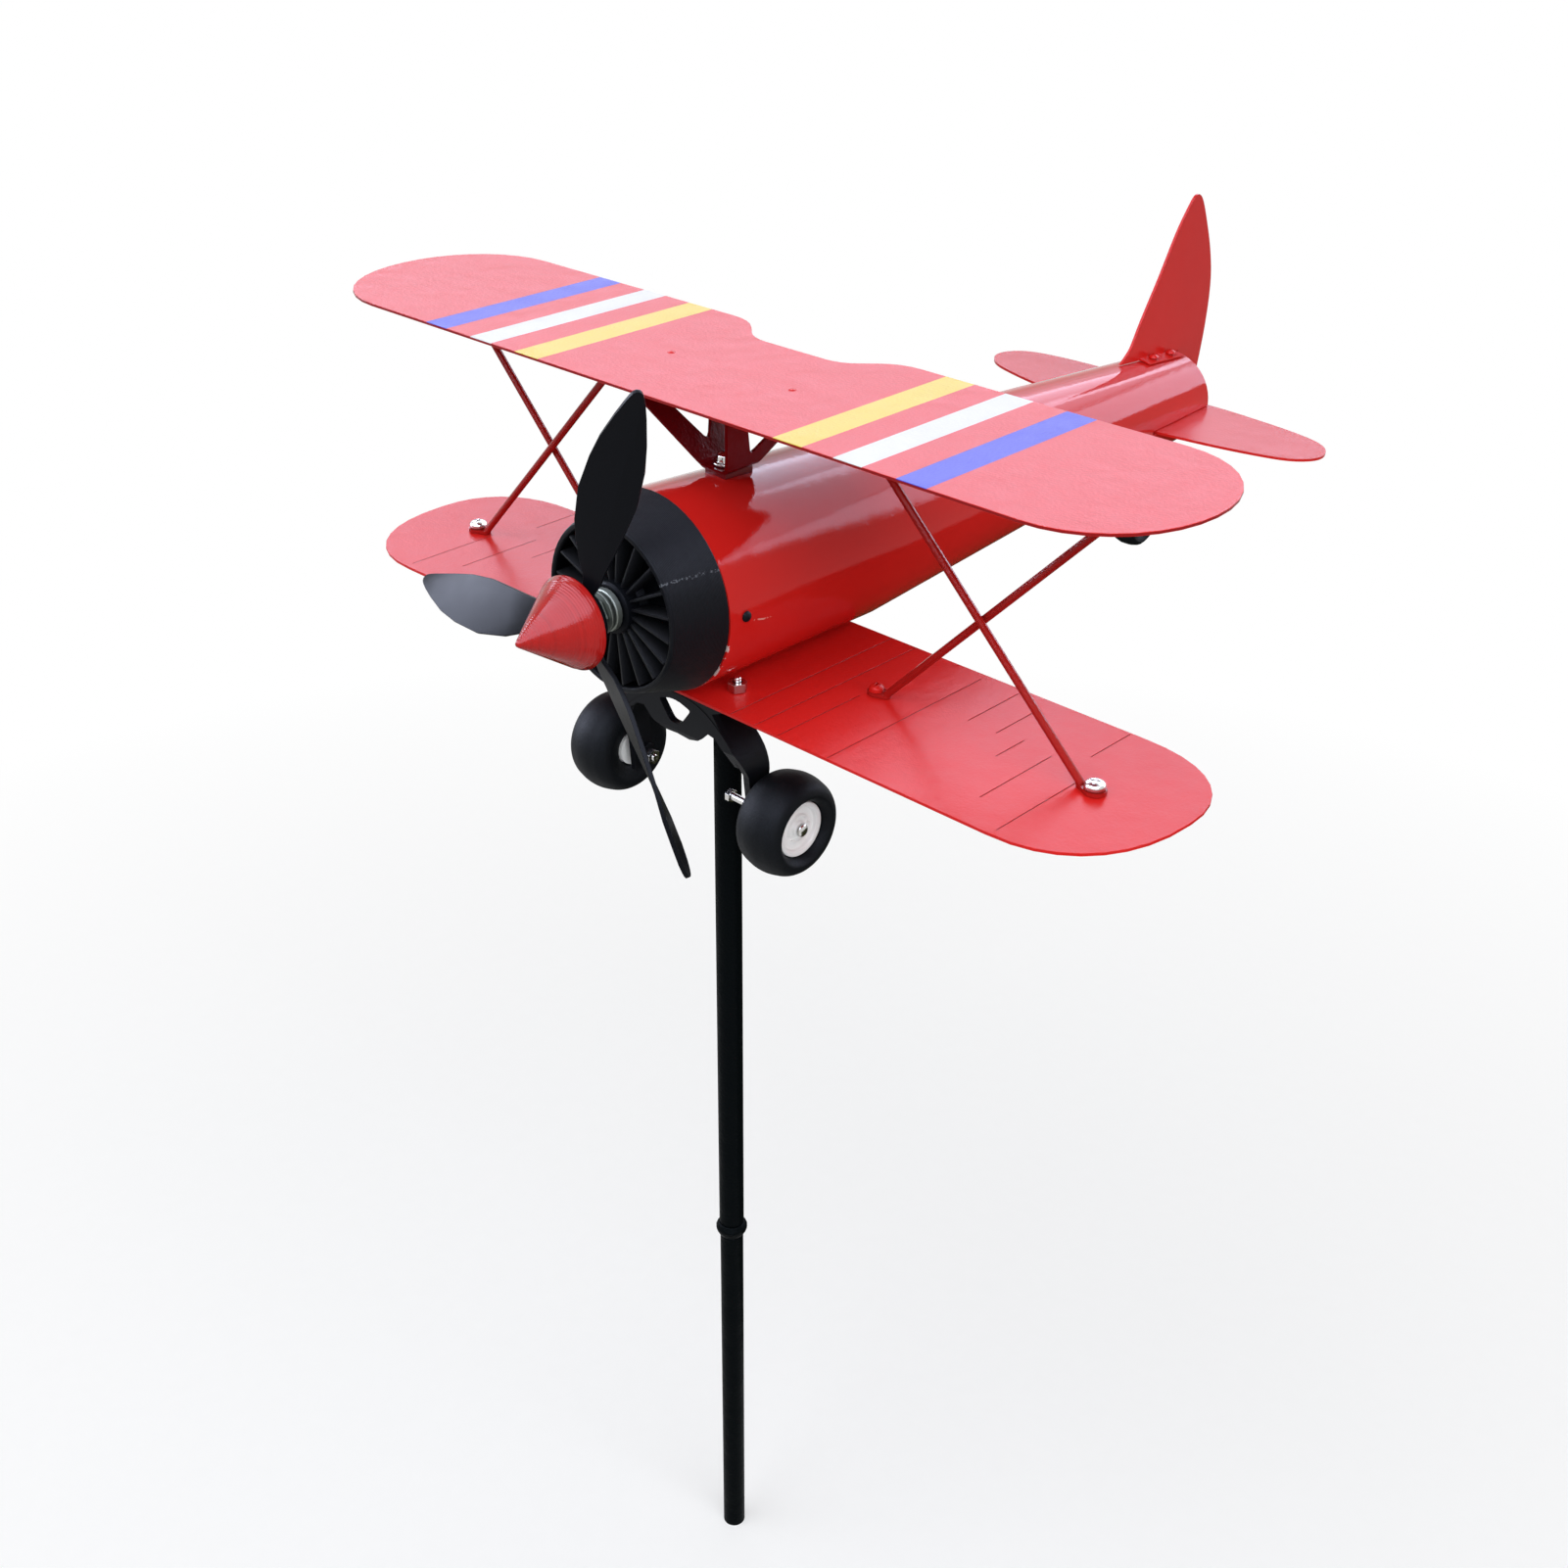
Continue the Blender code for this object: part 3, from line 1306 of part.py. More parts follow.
build_stake(GROUND)
build_airframe(YAW)
build_propeller(PROPELLER)
build_wheel(1, "port", WHEEL_PORT)
build_wheel(-1, "starboard", WHEEL_STARBOARD)
build_tail_wheel(TAIL_WHEEL)
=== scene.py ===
"""Finish of the biplane whirligig: paint, printed plastics, plated screws and a plain studio."""

import json
from math import cos, pi, radians, sin

import bmesh
import bpy
from bpy.props import FloatProperty, FloatVectorProperty, PointerProperty
from mathutils import Matrix, Vector


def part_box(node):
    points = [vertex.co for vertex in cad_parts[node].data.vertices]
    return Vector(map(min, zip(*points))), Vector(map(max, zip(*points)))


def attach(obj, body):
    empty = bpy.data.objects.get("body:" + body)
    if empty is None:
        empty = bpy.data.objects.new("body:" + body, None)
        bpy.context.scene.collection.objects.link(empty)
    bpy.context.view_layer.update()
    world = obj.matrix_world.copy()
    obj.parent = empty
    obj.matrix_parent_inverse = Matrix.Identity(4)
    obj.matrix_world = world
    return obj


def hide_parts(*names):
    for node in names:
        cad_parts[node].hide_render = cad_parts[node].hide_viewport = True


bl_info = {
    "name": "Biplane Whirligig",
    "version": (1, 0, 0),
    "blender": (4, 5, 0),
    "location": "View3D > Sidebar > Whirligig",
    "description": "Finish of a garden biplane whirligig on its stake",
    "category": "Object",
}

MM = 0.001
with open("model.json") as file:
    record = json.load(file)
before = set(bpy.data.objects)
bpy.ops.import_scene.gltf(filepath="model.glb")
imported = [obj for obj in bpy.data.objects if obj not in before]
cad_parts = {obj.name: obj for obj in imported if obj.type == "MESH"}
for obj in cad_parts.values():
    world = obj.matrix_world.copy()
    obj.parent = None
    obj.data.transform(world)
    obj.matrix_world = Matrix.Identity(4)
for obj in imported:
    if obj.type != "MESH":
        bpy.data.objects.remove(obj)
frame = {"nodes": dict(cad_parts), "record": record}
RECORD = frame["record"]
BODY_OF = {n: body for body, names in RECORD["behaviour"]["bodies"].items() for n in names}
SLOT_OF = {entry["node"]: entry["material_slot"] for entry in RECORD["subparts"]}
SIDES = ("port", "starboard")


# ---------------------------------------------------------------- settings


def colour(label, text, default):
    return FloatVectorProperty(
        name=label, description=text, default=default, size=3, min=0, max=1, subtype="COLOR"
    )


def length(label, text, default):
    return FloatProperty(
        name=label,
        description=text,
        default=default,
        subtype="DISTANCE",
        unit="LENGTH",
        precision=5,
    )


def angle(label, text, default):
    return FloatProperty(
        name=label, description=text, default=radians(default), subtype="ANGLE", unit="ROTATION"
    )


def level(label, text, default):
    return FloatProperty(name=label, description=text, default=default, min=0, subtype="FACTOR")


class WhirligigPaint(bpy.types.PropertyGroup):
    """Colours of the finishes."""

    red: colour("Red paint", "Gloss enamel of wings, shell, fin and struts", (0.61, 0.016, 0.013))
    # Painted shade: a darker copy of the red paint, for the bracket under the upper wing and the
    # upper wing's edge
    shaded_red: colour("Dark red paint", "Enamel of the wing bracket", (0.14, 0.003, 0.005))
    cone_red: colour("Red plastic", "Printed nose cone", (0.42, 0.01, 0.0085))
    # Painted light: a lighter copy of the red paint, for the lower wing
    lit_lower_red: colour("Lower wing red", "Fresher paint of the lower wing", (0.7, 0.0175, 0.0145))
    strut_red: colour("Strut red", "Thinner, darker paint of the struts", (0.36, 0.013, 0.011))
    yellow: colour("Yellow band", "Band nearest the fuselage", (0.7, 0.5, 0.025))
    white: colour("White band", "Middle band", (0.66, 0.65, 0.66))
    blue: colour("Blue band", "Band nearest the tip", (0.025, 0.03, 0.52))
    black: colour("Black plastic", "Printed cowl, engine, blades and legs", (0.003, 0.0035, 0.005))
    pole_black: colour("Black paint", "Powder coat of the stake", (0.002, 0.003, 0.0035))
    rubber: colour("Tyre black", "Soft balloon tyres", (0.004, 0.0048, 0.006))
    hub_white: colour("Hub white", "Printed wheel hubs", (0.92, 0.92, 0.9))
    steel: colour("Plated steel", "Screws, nuts and washers", (0.55, 0.54, 0.52))
    fin_black: colour("Fin plastic", "Rubbed fins of the engine face", (0.012, 0.0125, 0.015))
    dull_steel: colour("Dull steel", "Shaft, nut, washer and collar", (0.2, 0.215, 0.185))
    brass: colour("Brass", "Bearings", (0.62, 0.42, 0.17))


class WhirligigSizes(bpy.types.PropertyGroup):
    """Lengths of the finish that the solids don't hold."""

    yellow_from: length("Yellow from", "Inner edge of the yellow band", 58.7 * MM)
    yellow_to: length("Yellow to", "Outer edge of the yellow band", 71.6 * MM)
    white_from: length("White from", "Inner edge of the white band", 85.2 * MM)
    white_to: length("White to", "Outer edge of the white band", 97.4 * MM)
    blue_from: length("Blue from", "Inner edge of the blue band", 111.4 * MM)
    blue_to: length("Blue to", "Outer edge of the blue band", 123.8 * MM)
    sheet_edge: length("Sheet edge", "Rounding of the sheet metal's edges", 0.25 * MM)
    mould_edge: length("Moulded edge", "Rounding of the plastic pieces' edges", 0.35 * MM)
    score_width: length("Score width", "Half width of the lower wing's score lines", 0.28 * MM)
    cone_layer: length("Cone layer", "Height of the nose cone's printed layers", 0.85 * MM)
    layer: length("Layer", "Height of the other printed layers", 0.5 * MM)


class WhirligigStudio(bpy.types.PropertyGroup):
    """Camera and lights."""

    azimuth: angle("Camera azimuth", "Turn of the camera from the nose towards port", 43.42)
    elevation: angle("Camera elevation", "How far the camera looks down", 29.71)
    roll: angle("Camera roll", "Turn of the camera about its view", 0.43)
    camera_place: FloatVectorProperty(
        name="Camera place",
        description="Where the camera stands",
        default=(0.4803, -0.4752, 0.8102),
        size=3,
        subtype="XYZ_LENGTH",
        unit="LENGTH",
    )
    lens: FloatProperty(
        name="Lens", description="Focal length on a 36 mm sensor", default=45.08, unit="CAMERA"
    )
    key_level: level("Key", "Brightness of the softbox before the port wing", 2.8)
    front_level: level("Front", "Brightness of the softbox before the nose", 2.2)
    top_level: level("Top", "Brightness of the softbox above the tail", 0.7)
    room_level: level("Room light", "Light that comes evenly from all round", 0.2)
    floor_tone: level("Floor tone", "How pale the floor looks", 0.94)


# ---------------------------------------------------------------- shader nodes


class Graph:
    """Adds nodes to one shader tree."""

    def __init__(self, tree):
        self.tree = tree

    def feed(self, socket, value):
        if isinstance(value, bpy.types.NodeSocket):
            self.tree.links.new(value, socket)
        elif value is not None:
            socket.default_value = value

    def add(self, kind, inputs=(), **settings):
        node = self.tree.nodes.new(kind)
        for key, value in settings.items():
            setattr(node, key, value)
        for key, value in dict(inputs).items():
            self.feed(node.inputs[key], value)
        return node

    def math(self, operation, a, b=None, clamp=False):
        node = self.tree.nodes.new("ShaderNodeMath")
        node.operation = operation
        node.use_clamp = clamp
        for socket, value in zip(node.inputs, (a, b)):
            self.feed(socket, value)
        return node.outputs[0]

    def sway(self, value, amount):
        """A value from 0 to 1, moved to swing by an amount about 0."""
        return self.math("MULTIPLY", self.math("SUBTRACT", value, 0.5), amount)

    def distance(self, value, from_value):
        return self.math("ABSOLUTE", self.math("SUBTRACT", value, from_value))

    def scaled(self, vector, factor):
        inputs = {0: vector, "Scale": factor}
        return self.add("ShaderNodeVectorMath", inputs, operation="SCALE").outputs[0]

    def blend(self, factor, a, b):
        node = self.tree.nodes.new("ShaderNodeMix")
        node.data_type = "RGBA"
        for key, value in ((0, factor), (6, a), (7, b)):
            self.feed(node.inputs[key], value)
        return node.outputs[2]

    def group(self, tree, **inputs):
        node = self.tree.nodes.new("ShaderNodeGroup")
        node.node_tree = tree
        for key, value in inputs.items():
            self.feed(node.inputs[key.replace("_", " ")], value)
        return node

    def noise(self, vector, scale, detail=2.0, roughness=0.5):
        inputs = {"Vector": vector, "Scale": scale, "Detail": detail, "Roughness": roughness}
        return self.add("ShaderNodeTexNoise", inputs).outputs["Fac"]

    def split(self, vector):
        return self.add("ShaderNodeSeparateXYZ", {0: vector}).outputs

    def range(self, value, low, high, to_low=0.0, to_high=1.0):
        inputs = {0: value, 1: low, 2: high, 3: to_low, 4: to_high}
        return self.add("ShaderNodeMapRange", inputs).outputs[0]


def new_group(name, inputs, outputs):
    """A shader group with its sockets; returns its graph, its inputs and its outputs."""
    tree = bpy.data.node_groups.new(name, "ShaderNodeTree")
    for label, kind, default in inputs:
        socket = tree.interface.new_socket(label, in_out="INPUT", socket_type=kind)
        if default is not None:
            socket.default_value = default
    for label, kind in outputs:
        tree.interface.new_socket(label, in_out="OUTPUT", socket_type=kind)
    start = tree.nodes.new("NodeGroupInput")
    end = tree.nodes.new("NodeGroupOutput")
    return Graph(tree), start.outputs, end.inputs


NUMBER, VECTOR, COLOUR = "NodeSocketFloat", "NodeSocketVector", "NodeSocketColor"

# Colours that marks have, whatever the paint: dust, scratch and chip; painted shade at the bottom
# of a score; and a scuff line that is partly painted reflection
DUST = (0.5, 0.48, 0.45, 1)
SCORE_SHADE = (0.12, 0.004, 0.004, 1)
SCRATCHED = (0.8, 0.4, 0.34, 1)
CHIPPED = (0.75, 0.7, 0.66, 1)
SCUFF_AND_SHEEN = (0.22, 0.24, 0.27, 1)

# Upper wing, in millimetres: where its bands begin in height, and the height of its sheet edge,
# darkened as painted shade, with half its height
PAINTED_FROM = 592.05
SHADED_EDGE_Z, SHADED_EDGE_HALF = 591.7, 0.4
# Scratch on the port side of the shell, in millimetres: height, rise, half width, start and end
SCRATCH_Z, SCRATCH_RISE, SCRATCH_HALF = 511.3, 0.2, 0.3
SCRATCH_FROM, SCRATCH_TO = -23.5, -14.0
# Chips at the shell's front edge, in millimetres: how far back they reach, and their heights
CHIPS_BEFORE, CHIPS_REACH = -35.6, 1.6
CHIPS_LOW, CHIPS_HIGH = 490.0, 511.0
# Scuff line on the cowl, partly a scuff and partly a painted reflection of the sky's edge: its turn
# about the cowl and half width in radians, its slant in radians for each millimetre back, and the
# cowl's middle in millimetres
SCUFF_SHEEN_TURN, SCUFF_SHEEN_HALF = radians(31), 0.014
SCUFF_SHEEN_SLANT = -0.003
COWL_Z, COWL_Y = 519.5, -47.0


def cached(build):
    """Builds a group the first time it is asked for."""

    def wrapped():
        name = build.__name__
        return bpy.data.node_groups.get(name) or build(name)

    return wrapped


@cached
def millimetres(name):
    """Object coordinates in millimetres, whole and by axis."""
    outputs = (("Place", VECTOR), ("X", NUMBER), ("Y", NUMBER), ("Z", NUMBER))
    g, _, end = new_group(name, (), outputs)
    place = g.add("ShaderNodeTexCoord").outputs["Object"]
    whole = g.scaled(place, 1 / MM)
    for socket, value in zip(end, (whole, *g.split(whole))):
        g.feed(socket, value)
    return g.tree


@cached
def mottling(name):
    """Slow changes of tone and gloss, with specks of dust."""
    inputs = (
        ("Colour", COLOUR, (0.5, 0.5, 0.5, 1)),
        ("Place", VECTOR, None),
        ("Tone", NUMBER, 0.06),
        ("Gloss", NUMBER, 0.2),
        ("Spread", NUMBER, 0.05),
        ("Dust", NUMBER, 0.02),
    )
    g, start, end = new_group(name, inputs, (("Colour", COLOUR), ("Roughness", NUMBER)))
    slow = g.noise(start["Place"], 0.035, 3.0)
    fine = g.noise(start["Place"], 0.9, 2.0)
    fine_tone = g.sway(fine, g.math("MULTIPLY", start["Tone"], 0.4))
    tone = g.math("ADD", g.sway(slow, start["Tone"]), fine_tone)
    shaded = g.scaled(start["Colour"], g.math("ADD", 1.0, tone))
    speck = g.range(g.noise(start["Place"], 1.7, 4.0, 0.7), 0.66, 0.74)
    dusted = g.blend(g.math("MULTIPLY", speck, start["Dust"]), shaded, DUST)
    g.feed(end["Colour"], dusted)
    cloud = g.noise(start["Place"], 0.11, 3.0)
    rough = g.math("ADD", start["Gloss"], g.sway(cloud, start["Spread"]))
    rough = g.math("ADD", rough, g.math("MULTIPLY", speck, 0.08), clamp=True)
    g.feed(end["Roughness"], rough)
    return g.tree


@cached
def orange_peel(name):
    """Height of sprayed paint: a fine ripple on a slower wave."""
    inputs = (("Place", VECTOR, None), ("Fine", NUMBER, 0.5), ("Slow", NUMBER, 0.5))
    g, start, end = new_group(name, inputs, (("Height", NUMBER),))
    fine = g.math("MULTIPLY", g.noise(start["Place"], 0.8, 2.0), start["Fine"])
    slow = g.math("MULTIPLY", g.noise(start["Place"], 0.09, 1.0), start["Slow"])
    g.feed(end["Height"], g.math("ADD", fine, slow))
    return g.tree


@cached
def stripe_band(name):
    """1 between two distances from the middle, on both sides."""
    inputs = (("Across", NUMBER, 0.0), ("From", NUMBER, 0.0), ("To", NUMBER, 1.0))
    g, start, end = new_group(name, inputs, (("Mask", NUMBER),))
    away = g.math("ABSOLUTE", start["Across"])
    low = g.math("GREATER_THAN", away, start["From"])
    high = g.math("LESS_THAN", away, start["To"])
    g.feed(end["Mask"], g.math("MULTIPLY", low, high))
    return g.tree


@cached
def score_line(name):
    """1 along a straight scored line, falling to 0 at its edges."""
    inputs = (
        ("Across", NUMBER, 0.0),
        ("Along", NUMBER, 0.0),
        ("At", NUMBER, 0.0),
        ("Start", NUMBER, -10.0),
        ("End", NUMBER, 10.0),
        ("Half", NUMBER, 0.3),
    )
    g, start, end = new_group(name, inputs, (("Mask", NUMBER),))
    off = g.distance(start["Across"], start["At"])
    near = g.math("SUBTRACT", 1.0, g.math("DIVIDE", off, start["Half"]), clamp=True)
    first = g.math("GREATER_THAN", start["Along"], start["Start"])
    last = g.math("LESS_THAN", start["Along"], start["End"])
    g.feed(end["Mask"], g.math("MULTIPLY", near, g.math("MULTIPLY", first, last)))
    return g.tree


@cached
def printed_layers(name):
    """Height of layers laid one on another, with small faults."""
    inputs = (
        ("Along", NUMBER, 0.0),
        ("Place", VECTOR, None),
        ("Layer", NUMBER, 0.4),
        ("Faults", NUMBER, 0.4),
    )
    g, start, end = new_group(name, inputs, (("Height", NUMBER), ("Mark", NUMBER)))
    wobble = g.math("MULTIPLY", g.noise(start["Place"], 0.25, 2.0), start["Faults"])
    turns = g.math("DIVIDE", g.math("ADD", start["Along"], wobble), start["Layer"])
    wave = g.math("SINE", g.math("MULTIPLY", turns, 2 * pi))
    blobs = g.math("MULTIPLY", g.noise(start["Place"], 0.7, 3.0), start["Faults"])
    g.feed(end["Height"], g.math("ADD", g.math("MULTIPLY", wave, 0.5), blobs))
    layer = g.add("ShaderNodeCombineXYZ", {0: g.math("FLOOR", turns)}).outputs[0]
    g.feed(end["Mark"], g.noise(layer, 0.9, 1.0))
    return g.tree


def new_material(name, **shader_values):
    """A material with its shader's constant values set; returns it, its graph and the shader."""
    made = bpy.data.materials.new(name)
    made.use_nodes = True
    g = Graph(made.node_tree)
    shader = made.node_tree.nodes["Principled BSDF"]
    for key, value in shader_values.items():
        shader.inputs[key.replace("_", " ")].default_value = value
    return made, g, shader


def rgba(value):
    return (*value, 1.0)


def finish(g, shader, colour_in, place, gloss, spread, dust, tone=0.06):
    """Mottled colour and roughness on the shader."""
    surface = g.group(
        mottling(), Colour=colour_in, Place=place, Gloss=gloss, Spread=spread, Dust=dust, Tone=tone
    )
    g.feed(shader.inputs["Base Color"], surface.outputs["Colour"])
    g.feed(shader.inputs["Roughness"], surface.outputs["Roughness"])


def bump(g, shader, height, distance):
    inputs = {"Height": height, "Distance": distance, "Strength": 1.0}
    g.feed(shader.inputs["Normal"], g.add("ShaderNodeBump", inputs).outputs["Normal"])


def paint(name, tint, gloss, peel=0.05, spread=0.05, dust=0.015, decorate=None, **values):
    """Sprayed enamel; decorate changes its colour and adds to its height."""
    made, g, shader = new_material(name, **{"IOR": 1.2, **values})
    mm = g.group(millimetres()).outputs
    base = rgba(tint)
    height = g.group(orange_peel(), Place=mm["Place"], Fine=peel, Slow=peel * 3).outputs[0]
    if decorate:
        base, extra = decorate(g, mm, base)
        height = g.math("ADD", height, extra) if extra is not None else height
    finish(g, shader, base, mm["Place"], gloss, spread, dust)
    bump(g, shader, height, MM)
    return made


def wing_bands(g, mm, base):
    """Yellow, white and blue bands on the top of both wing halves, and the sheet's edge darkened as
    painted shade.
    """
    tones = bpy.context.scene.whirligig_paint
    sizes = bpy.context.scene.whirligig_sizes
    height = 0.0
    top = g.math("GREATER_THAN", mm["Z"], PAINTED_FROM)
    for label in ("yellow", "white", "blue"):
        low = getattr(sizes, f"{label}_from") / MM
        high = getattr(sizes, f"{label}_to") / MM
        band = g.group(stripe_band(), Across=mm["X"], From=low, To=high).outputs[0]
        mask = g.math("MULTIPLY", band, top)
        base = g.blend(mask, base, rgba(getattr(tones, label)))
        height = g.math("ADD", height, g.math("MULTIPLY", mask, 0.04))
    # The sheet's edge is darkened towards the bracket red as painted shade
    edge = g.math("LESS_THAN", g.distance(mm["Z"], SHADED_EDGE_Z), SHADED_EDGE_HALF)
    return g.blend(g.math("MULTIPLY", edge, 0.7), base, rgba(tones.shaded_red)), height


# Score lines of the lower wing: distance from the middle, start and end along the chord
SCORES = (
    (36.0, -34.0, 55.0),
    (48.2, -34.0, 55.0),
    (59.5, -34.0, 9.5),
    (83.0, -34.0, 51.0),
    (100.4, 22.0, 52.0),
    (113.5, 21.5, 46.0),
    (124.0, 8.0, 24.0),
    (137.8, -18.0, 21.5),
    (148.0, 30.5, 54.0),
    (155.0, -31.0, 12.0),
)


def wing_scores(g, mm, base):
    """Scored lines along the chord, with painted shade at the bottom of the groove."""
    half = bpy.context.scene.whirligig_sizes.score_width / MM
    away = g.math("ABSOLUTE", mm["X"])
    total = 0.0
    for at, start, end in SCORES:
        stretch = {"At": at, "Start": start, "End": end, "Half": half}
        line = g.group(score_line(), Across=away, Along=mm["Y"], **stretch).outputs[0]
        total = g.math("MAXIMUM", total, line)
    # Painted shade darkens the bottom of each groove
    dark = g.blend(g.math("MULTIPLY", total, 0.75), base, SCORE_SHADE)
    return dark, g.math("MULTIPLY", total, -0.35)


def shell_marks(g, mm, base):
    """A short pale scratch beside the port screw and chipped paint at the front edge."""
    place = mm["Place"]
    port = g.math("GREATER_THAN", mm["X"], 0.0)
    low = g.math("SUBTRACT", mm["Z"], SCRATCH_Z)
    rise = g.math("MULTIPLY", mm["Y"], SCRATCH_RISE)
    off = g.math("ADD", low, g.math("ADD", g.sway(g.noise(place, 0.5), 0.8), rise))
    thin = g.math("LESS_THAN", g.math("ABSOLUTE", off), SCRATCH_HALF)
    after = g.math("GREATER_THAN", mm["Y"], SCRATCH_FROM)
    span = g.math("MULTIPLY", after, g.math("LESS_THAN", mm["Y"], SCRATCH_TO))
    broken = g.math("GREATER_THAN", g.noise(place, 0.8), 0.44)
    scratch = g.math("MULTIPLY", g.math("MULTIPLY", thin, span), g.math("MULTIPLY", broken, port))
    ragged = g.math("ADD", CHIPS_BEFORE, g.math("MULTIPLY", g.noise(place, 0.45, 3.0), CHIPS_REACH))
    edge = g.math("LESS_THAN", mm["Y"], ragged)
    chipped = g.math("MULTIPLY", edge, g.math("GREATER_THAN", g.noise(place, 0.3, 3.0), 0.52))
    belt = g.group(stripe_band(), Across=mm["Z"], From=CHIPS_LOW, To=CHIPS_HIGH).outputs[0]
    chipped = g.math("MULTIPLY", chipped, g.math("MULTIPLY", port, belt))
    base = g.blend(g.math("MULTIPLY", scratch, 0.8), base, SCRATCHED)
    base = g.blend(g.math("MULTIPLY", chipped, 0.8), base, CHIPPED)
    return base, g.math("MULTIPLY", scratch, -0.08)


def plastic(
    name, tint, along, layer, gloss, depth, faults=0.35, decorate=None, dust=0.02, **values
):
    """Printed plastic with its layers stacked along one axis; decorate changes its colour."""
    made, g, shader = new_material(name, **values)
    mm = g.group(millimetres()).outputs
    laid = {"Layer": layer, "Faults": faults}
    lines = g.group(printed_layers(), Along=mm[along], Place=mm["Place"], **laid)
    tone = g.range(lines.outputs["Mark"], 0.2, 0.8, 0.85, 1.18)
    base = g.scaled(tint, tone)
    if decorate:
        base = decorate(g, mm, base)
    finish(g, shader, base, mm["Place"], gloss, 0.12, dust, 0.12)
    bump(g, shader, lines.outputs["Height"], depth * MM)
    return made


def cowl_scuff_and_sheen(g, mm, base):
    """A pale line along the cowl, high on the port side: partly a scuff and partly a painted
    reflection of the sky's edge.
    """
    turn = g.math("ARCTAN2", g.math("SUBTRACT", mm["Z"], COWL_Z), mm["X"])
    slant = g.math("MULTIPLY", g.math("SUBTRACT", mm["Y"], COWL_Y), SCUFF_SHEEN_SLANT)
    off = g.distance(turn, g.math("ADD", slant, SCUFF_SHEEN_TURN))
    wobble = g.sway(g.noise(mm["Place"], 0.6, 3.0), 0.05)
    near = g.math("LESS_THAN", g.math("ADD", off, wobble), SCUFF_SHEEN_HALF)
    broken = g.math("GREATER_THAN", g.noise(mm["Place"], 1.1, 3.0, 0.7), 0.53)
    # The pale line is partly a scuff and partly painted reflection
    mask = g.math("MULTIPLY", g.math("MULTIPLY", near, broken), 0.4)
    return g.blend(mask, base, SCUFF_AND_SHEEN)


def metal(name, tint, gloss):
    """Plated metal with fine turning marks and a little tarnish."""
    made, g, shader = new_material(name, Metallic=1.0)
    mm = g.group(millimetres()).outputs
    finish(g, shader, rgba(tint), mm["Place"], gloss, 0.18, 0.05, 0.25)
    bump(g, shader, g.noise(mm["Place"], 0.6, 3.0), 0.02 * MM)
    return made


def soft_rubber(name, tint):
    """Matte foam tyre with a fine grain."""
    made, g, shader = new_material(name, Specular_IOR_Level=0.07)
    mm = g.group(millimetres()).outputs
    finish(g, shader, rgba(tint), mm["Place"], 0.52, 0.14, 0.03, 0.3)
    grain = g.math("ADD", g.noise(mm["Place"], 1.4, 4.0, 0.6), g.noise(mm["Place"], 0.2, 2.0))
    bump(g, shader, grain, 0.12 * MM)
    return made


MAKERS = {}


def shine(amount):
    """How strongly a finish mirrors, as the value of its shader's own socket."""
    return {"Specular_IOR_Level": amount}


def material(name):
    """A finish of the part by name, made once."""
    known = bpy.data.materials.get(name)
    return known or MAKERS[name](name)


def define_finishes():
    """What each named finish is made of."""
    tones = bpy.context.scene.whirligig_paint
    sizes = bpy.context.scene.whirligig_sizes
    layer, cone = sizes.layer / MM, sizes.cone_layer / MM
    sheet = {"peel": 0.1, "spread": 0.06}
    red, lit_lower_red, black, fin = tones.red, tones.lit_lower_red, tones.black, tones.fin_black
    MAKERS.update(
        {
            "red_enamel": lambda n: paint(n, red, 0.22),
            "strut_enamel": lambda n: paint(n, tones.strut_red, 0.15),
            "shell_enamel": lambda n: paint(n, red, 0.06, 0.03, 0.03, decorate=shell_marks),
            "upper_wing_enamel": lambda n: paint(n, red, 0.3, **sheet, decorate=wing_bands),
            # The lower wing's lighter red is painted light
            "lower_wing_enamel": lambda n: paint(n, lit_lower_red, 0.3, **sheet, decorate=wing_scores),
            # The bracket's darker red is painted shade
            "shaded_enamel": lambda n: paint(n, tones.shaded_red, 0.15, 0.08),
            "pole_coat": lambda n: paint(n, tones.pole_black, 0.4, 0.25, 0.1, 0.01, **shine(0.08)),
            "cone_plastic": lambda n: plastic(
                n, tones.cone_red, "Y", cone, 0.11, 0.03, 0.3, **shine(0.19)
            ),
            "cowl_plastic": lambda n: plastic(
                n, black, "Y", layer, 0.42, 0.08, 0.5, cowl_scuff_and_sheen, **shine(0.08)
            ),
            "blade_plastic": lambda n: plastic(n, black, "Y", 5.0, 0.34, 0.01, 0.6, **shine(0.06)),
            "engine_plastic": lambda n: plastic(n, black, "Y", layer, 0.4, 0.03, **shine(0.04)),
            "fin_plastic": lambda n: plastic(n, fin, "Y", layer, 0.4, 0.03, **shine(0.1)),
            "leg_plastic": lambda n: plastic(n, black, "Y", layer, 0.45, 0.04, **shine(0.08)),
            "hub_plastic": lambda n: plastic(n, tones.hub_white, "X", layer, 0.4, 0.03, dust=0.05),
            "tyre_rubber": lambda n: soft_rubber(n, tones.rubber),
            "plated_steel": lambda n: metal(n, tones.steel, 0.2),
            "dull_steel": lambda n: metal(n, tones.dull_steel, 0.5),
            "plain_brass": lambda n: metal(n, tones.brass, 0.3),
        }
    )


# ---------------------------------------------------------------- mesh helpers

# Edges that turn by more than this many degrees count as sharp
CREASE = 35


def merged(node):
    """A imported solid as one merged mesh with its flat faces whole."""
    bm = bmesh.new()
    bm.from_mesh(frame["nodes"][node].data)
    bmesh.ops.remove_doubles(bm, verts=bm.verts, dist=0.002 * MM)
    bmesh.ops.dissolve_limit(bm, angle_limit=radians(0.4), verts=bm.verts, edges=bm.edges)
    return bm


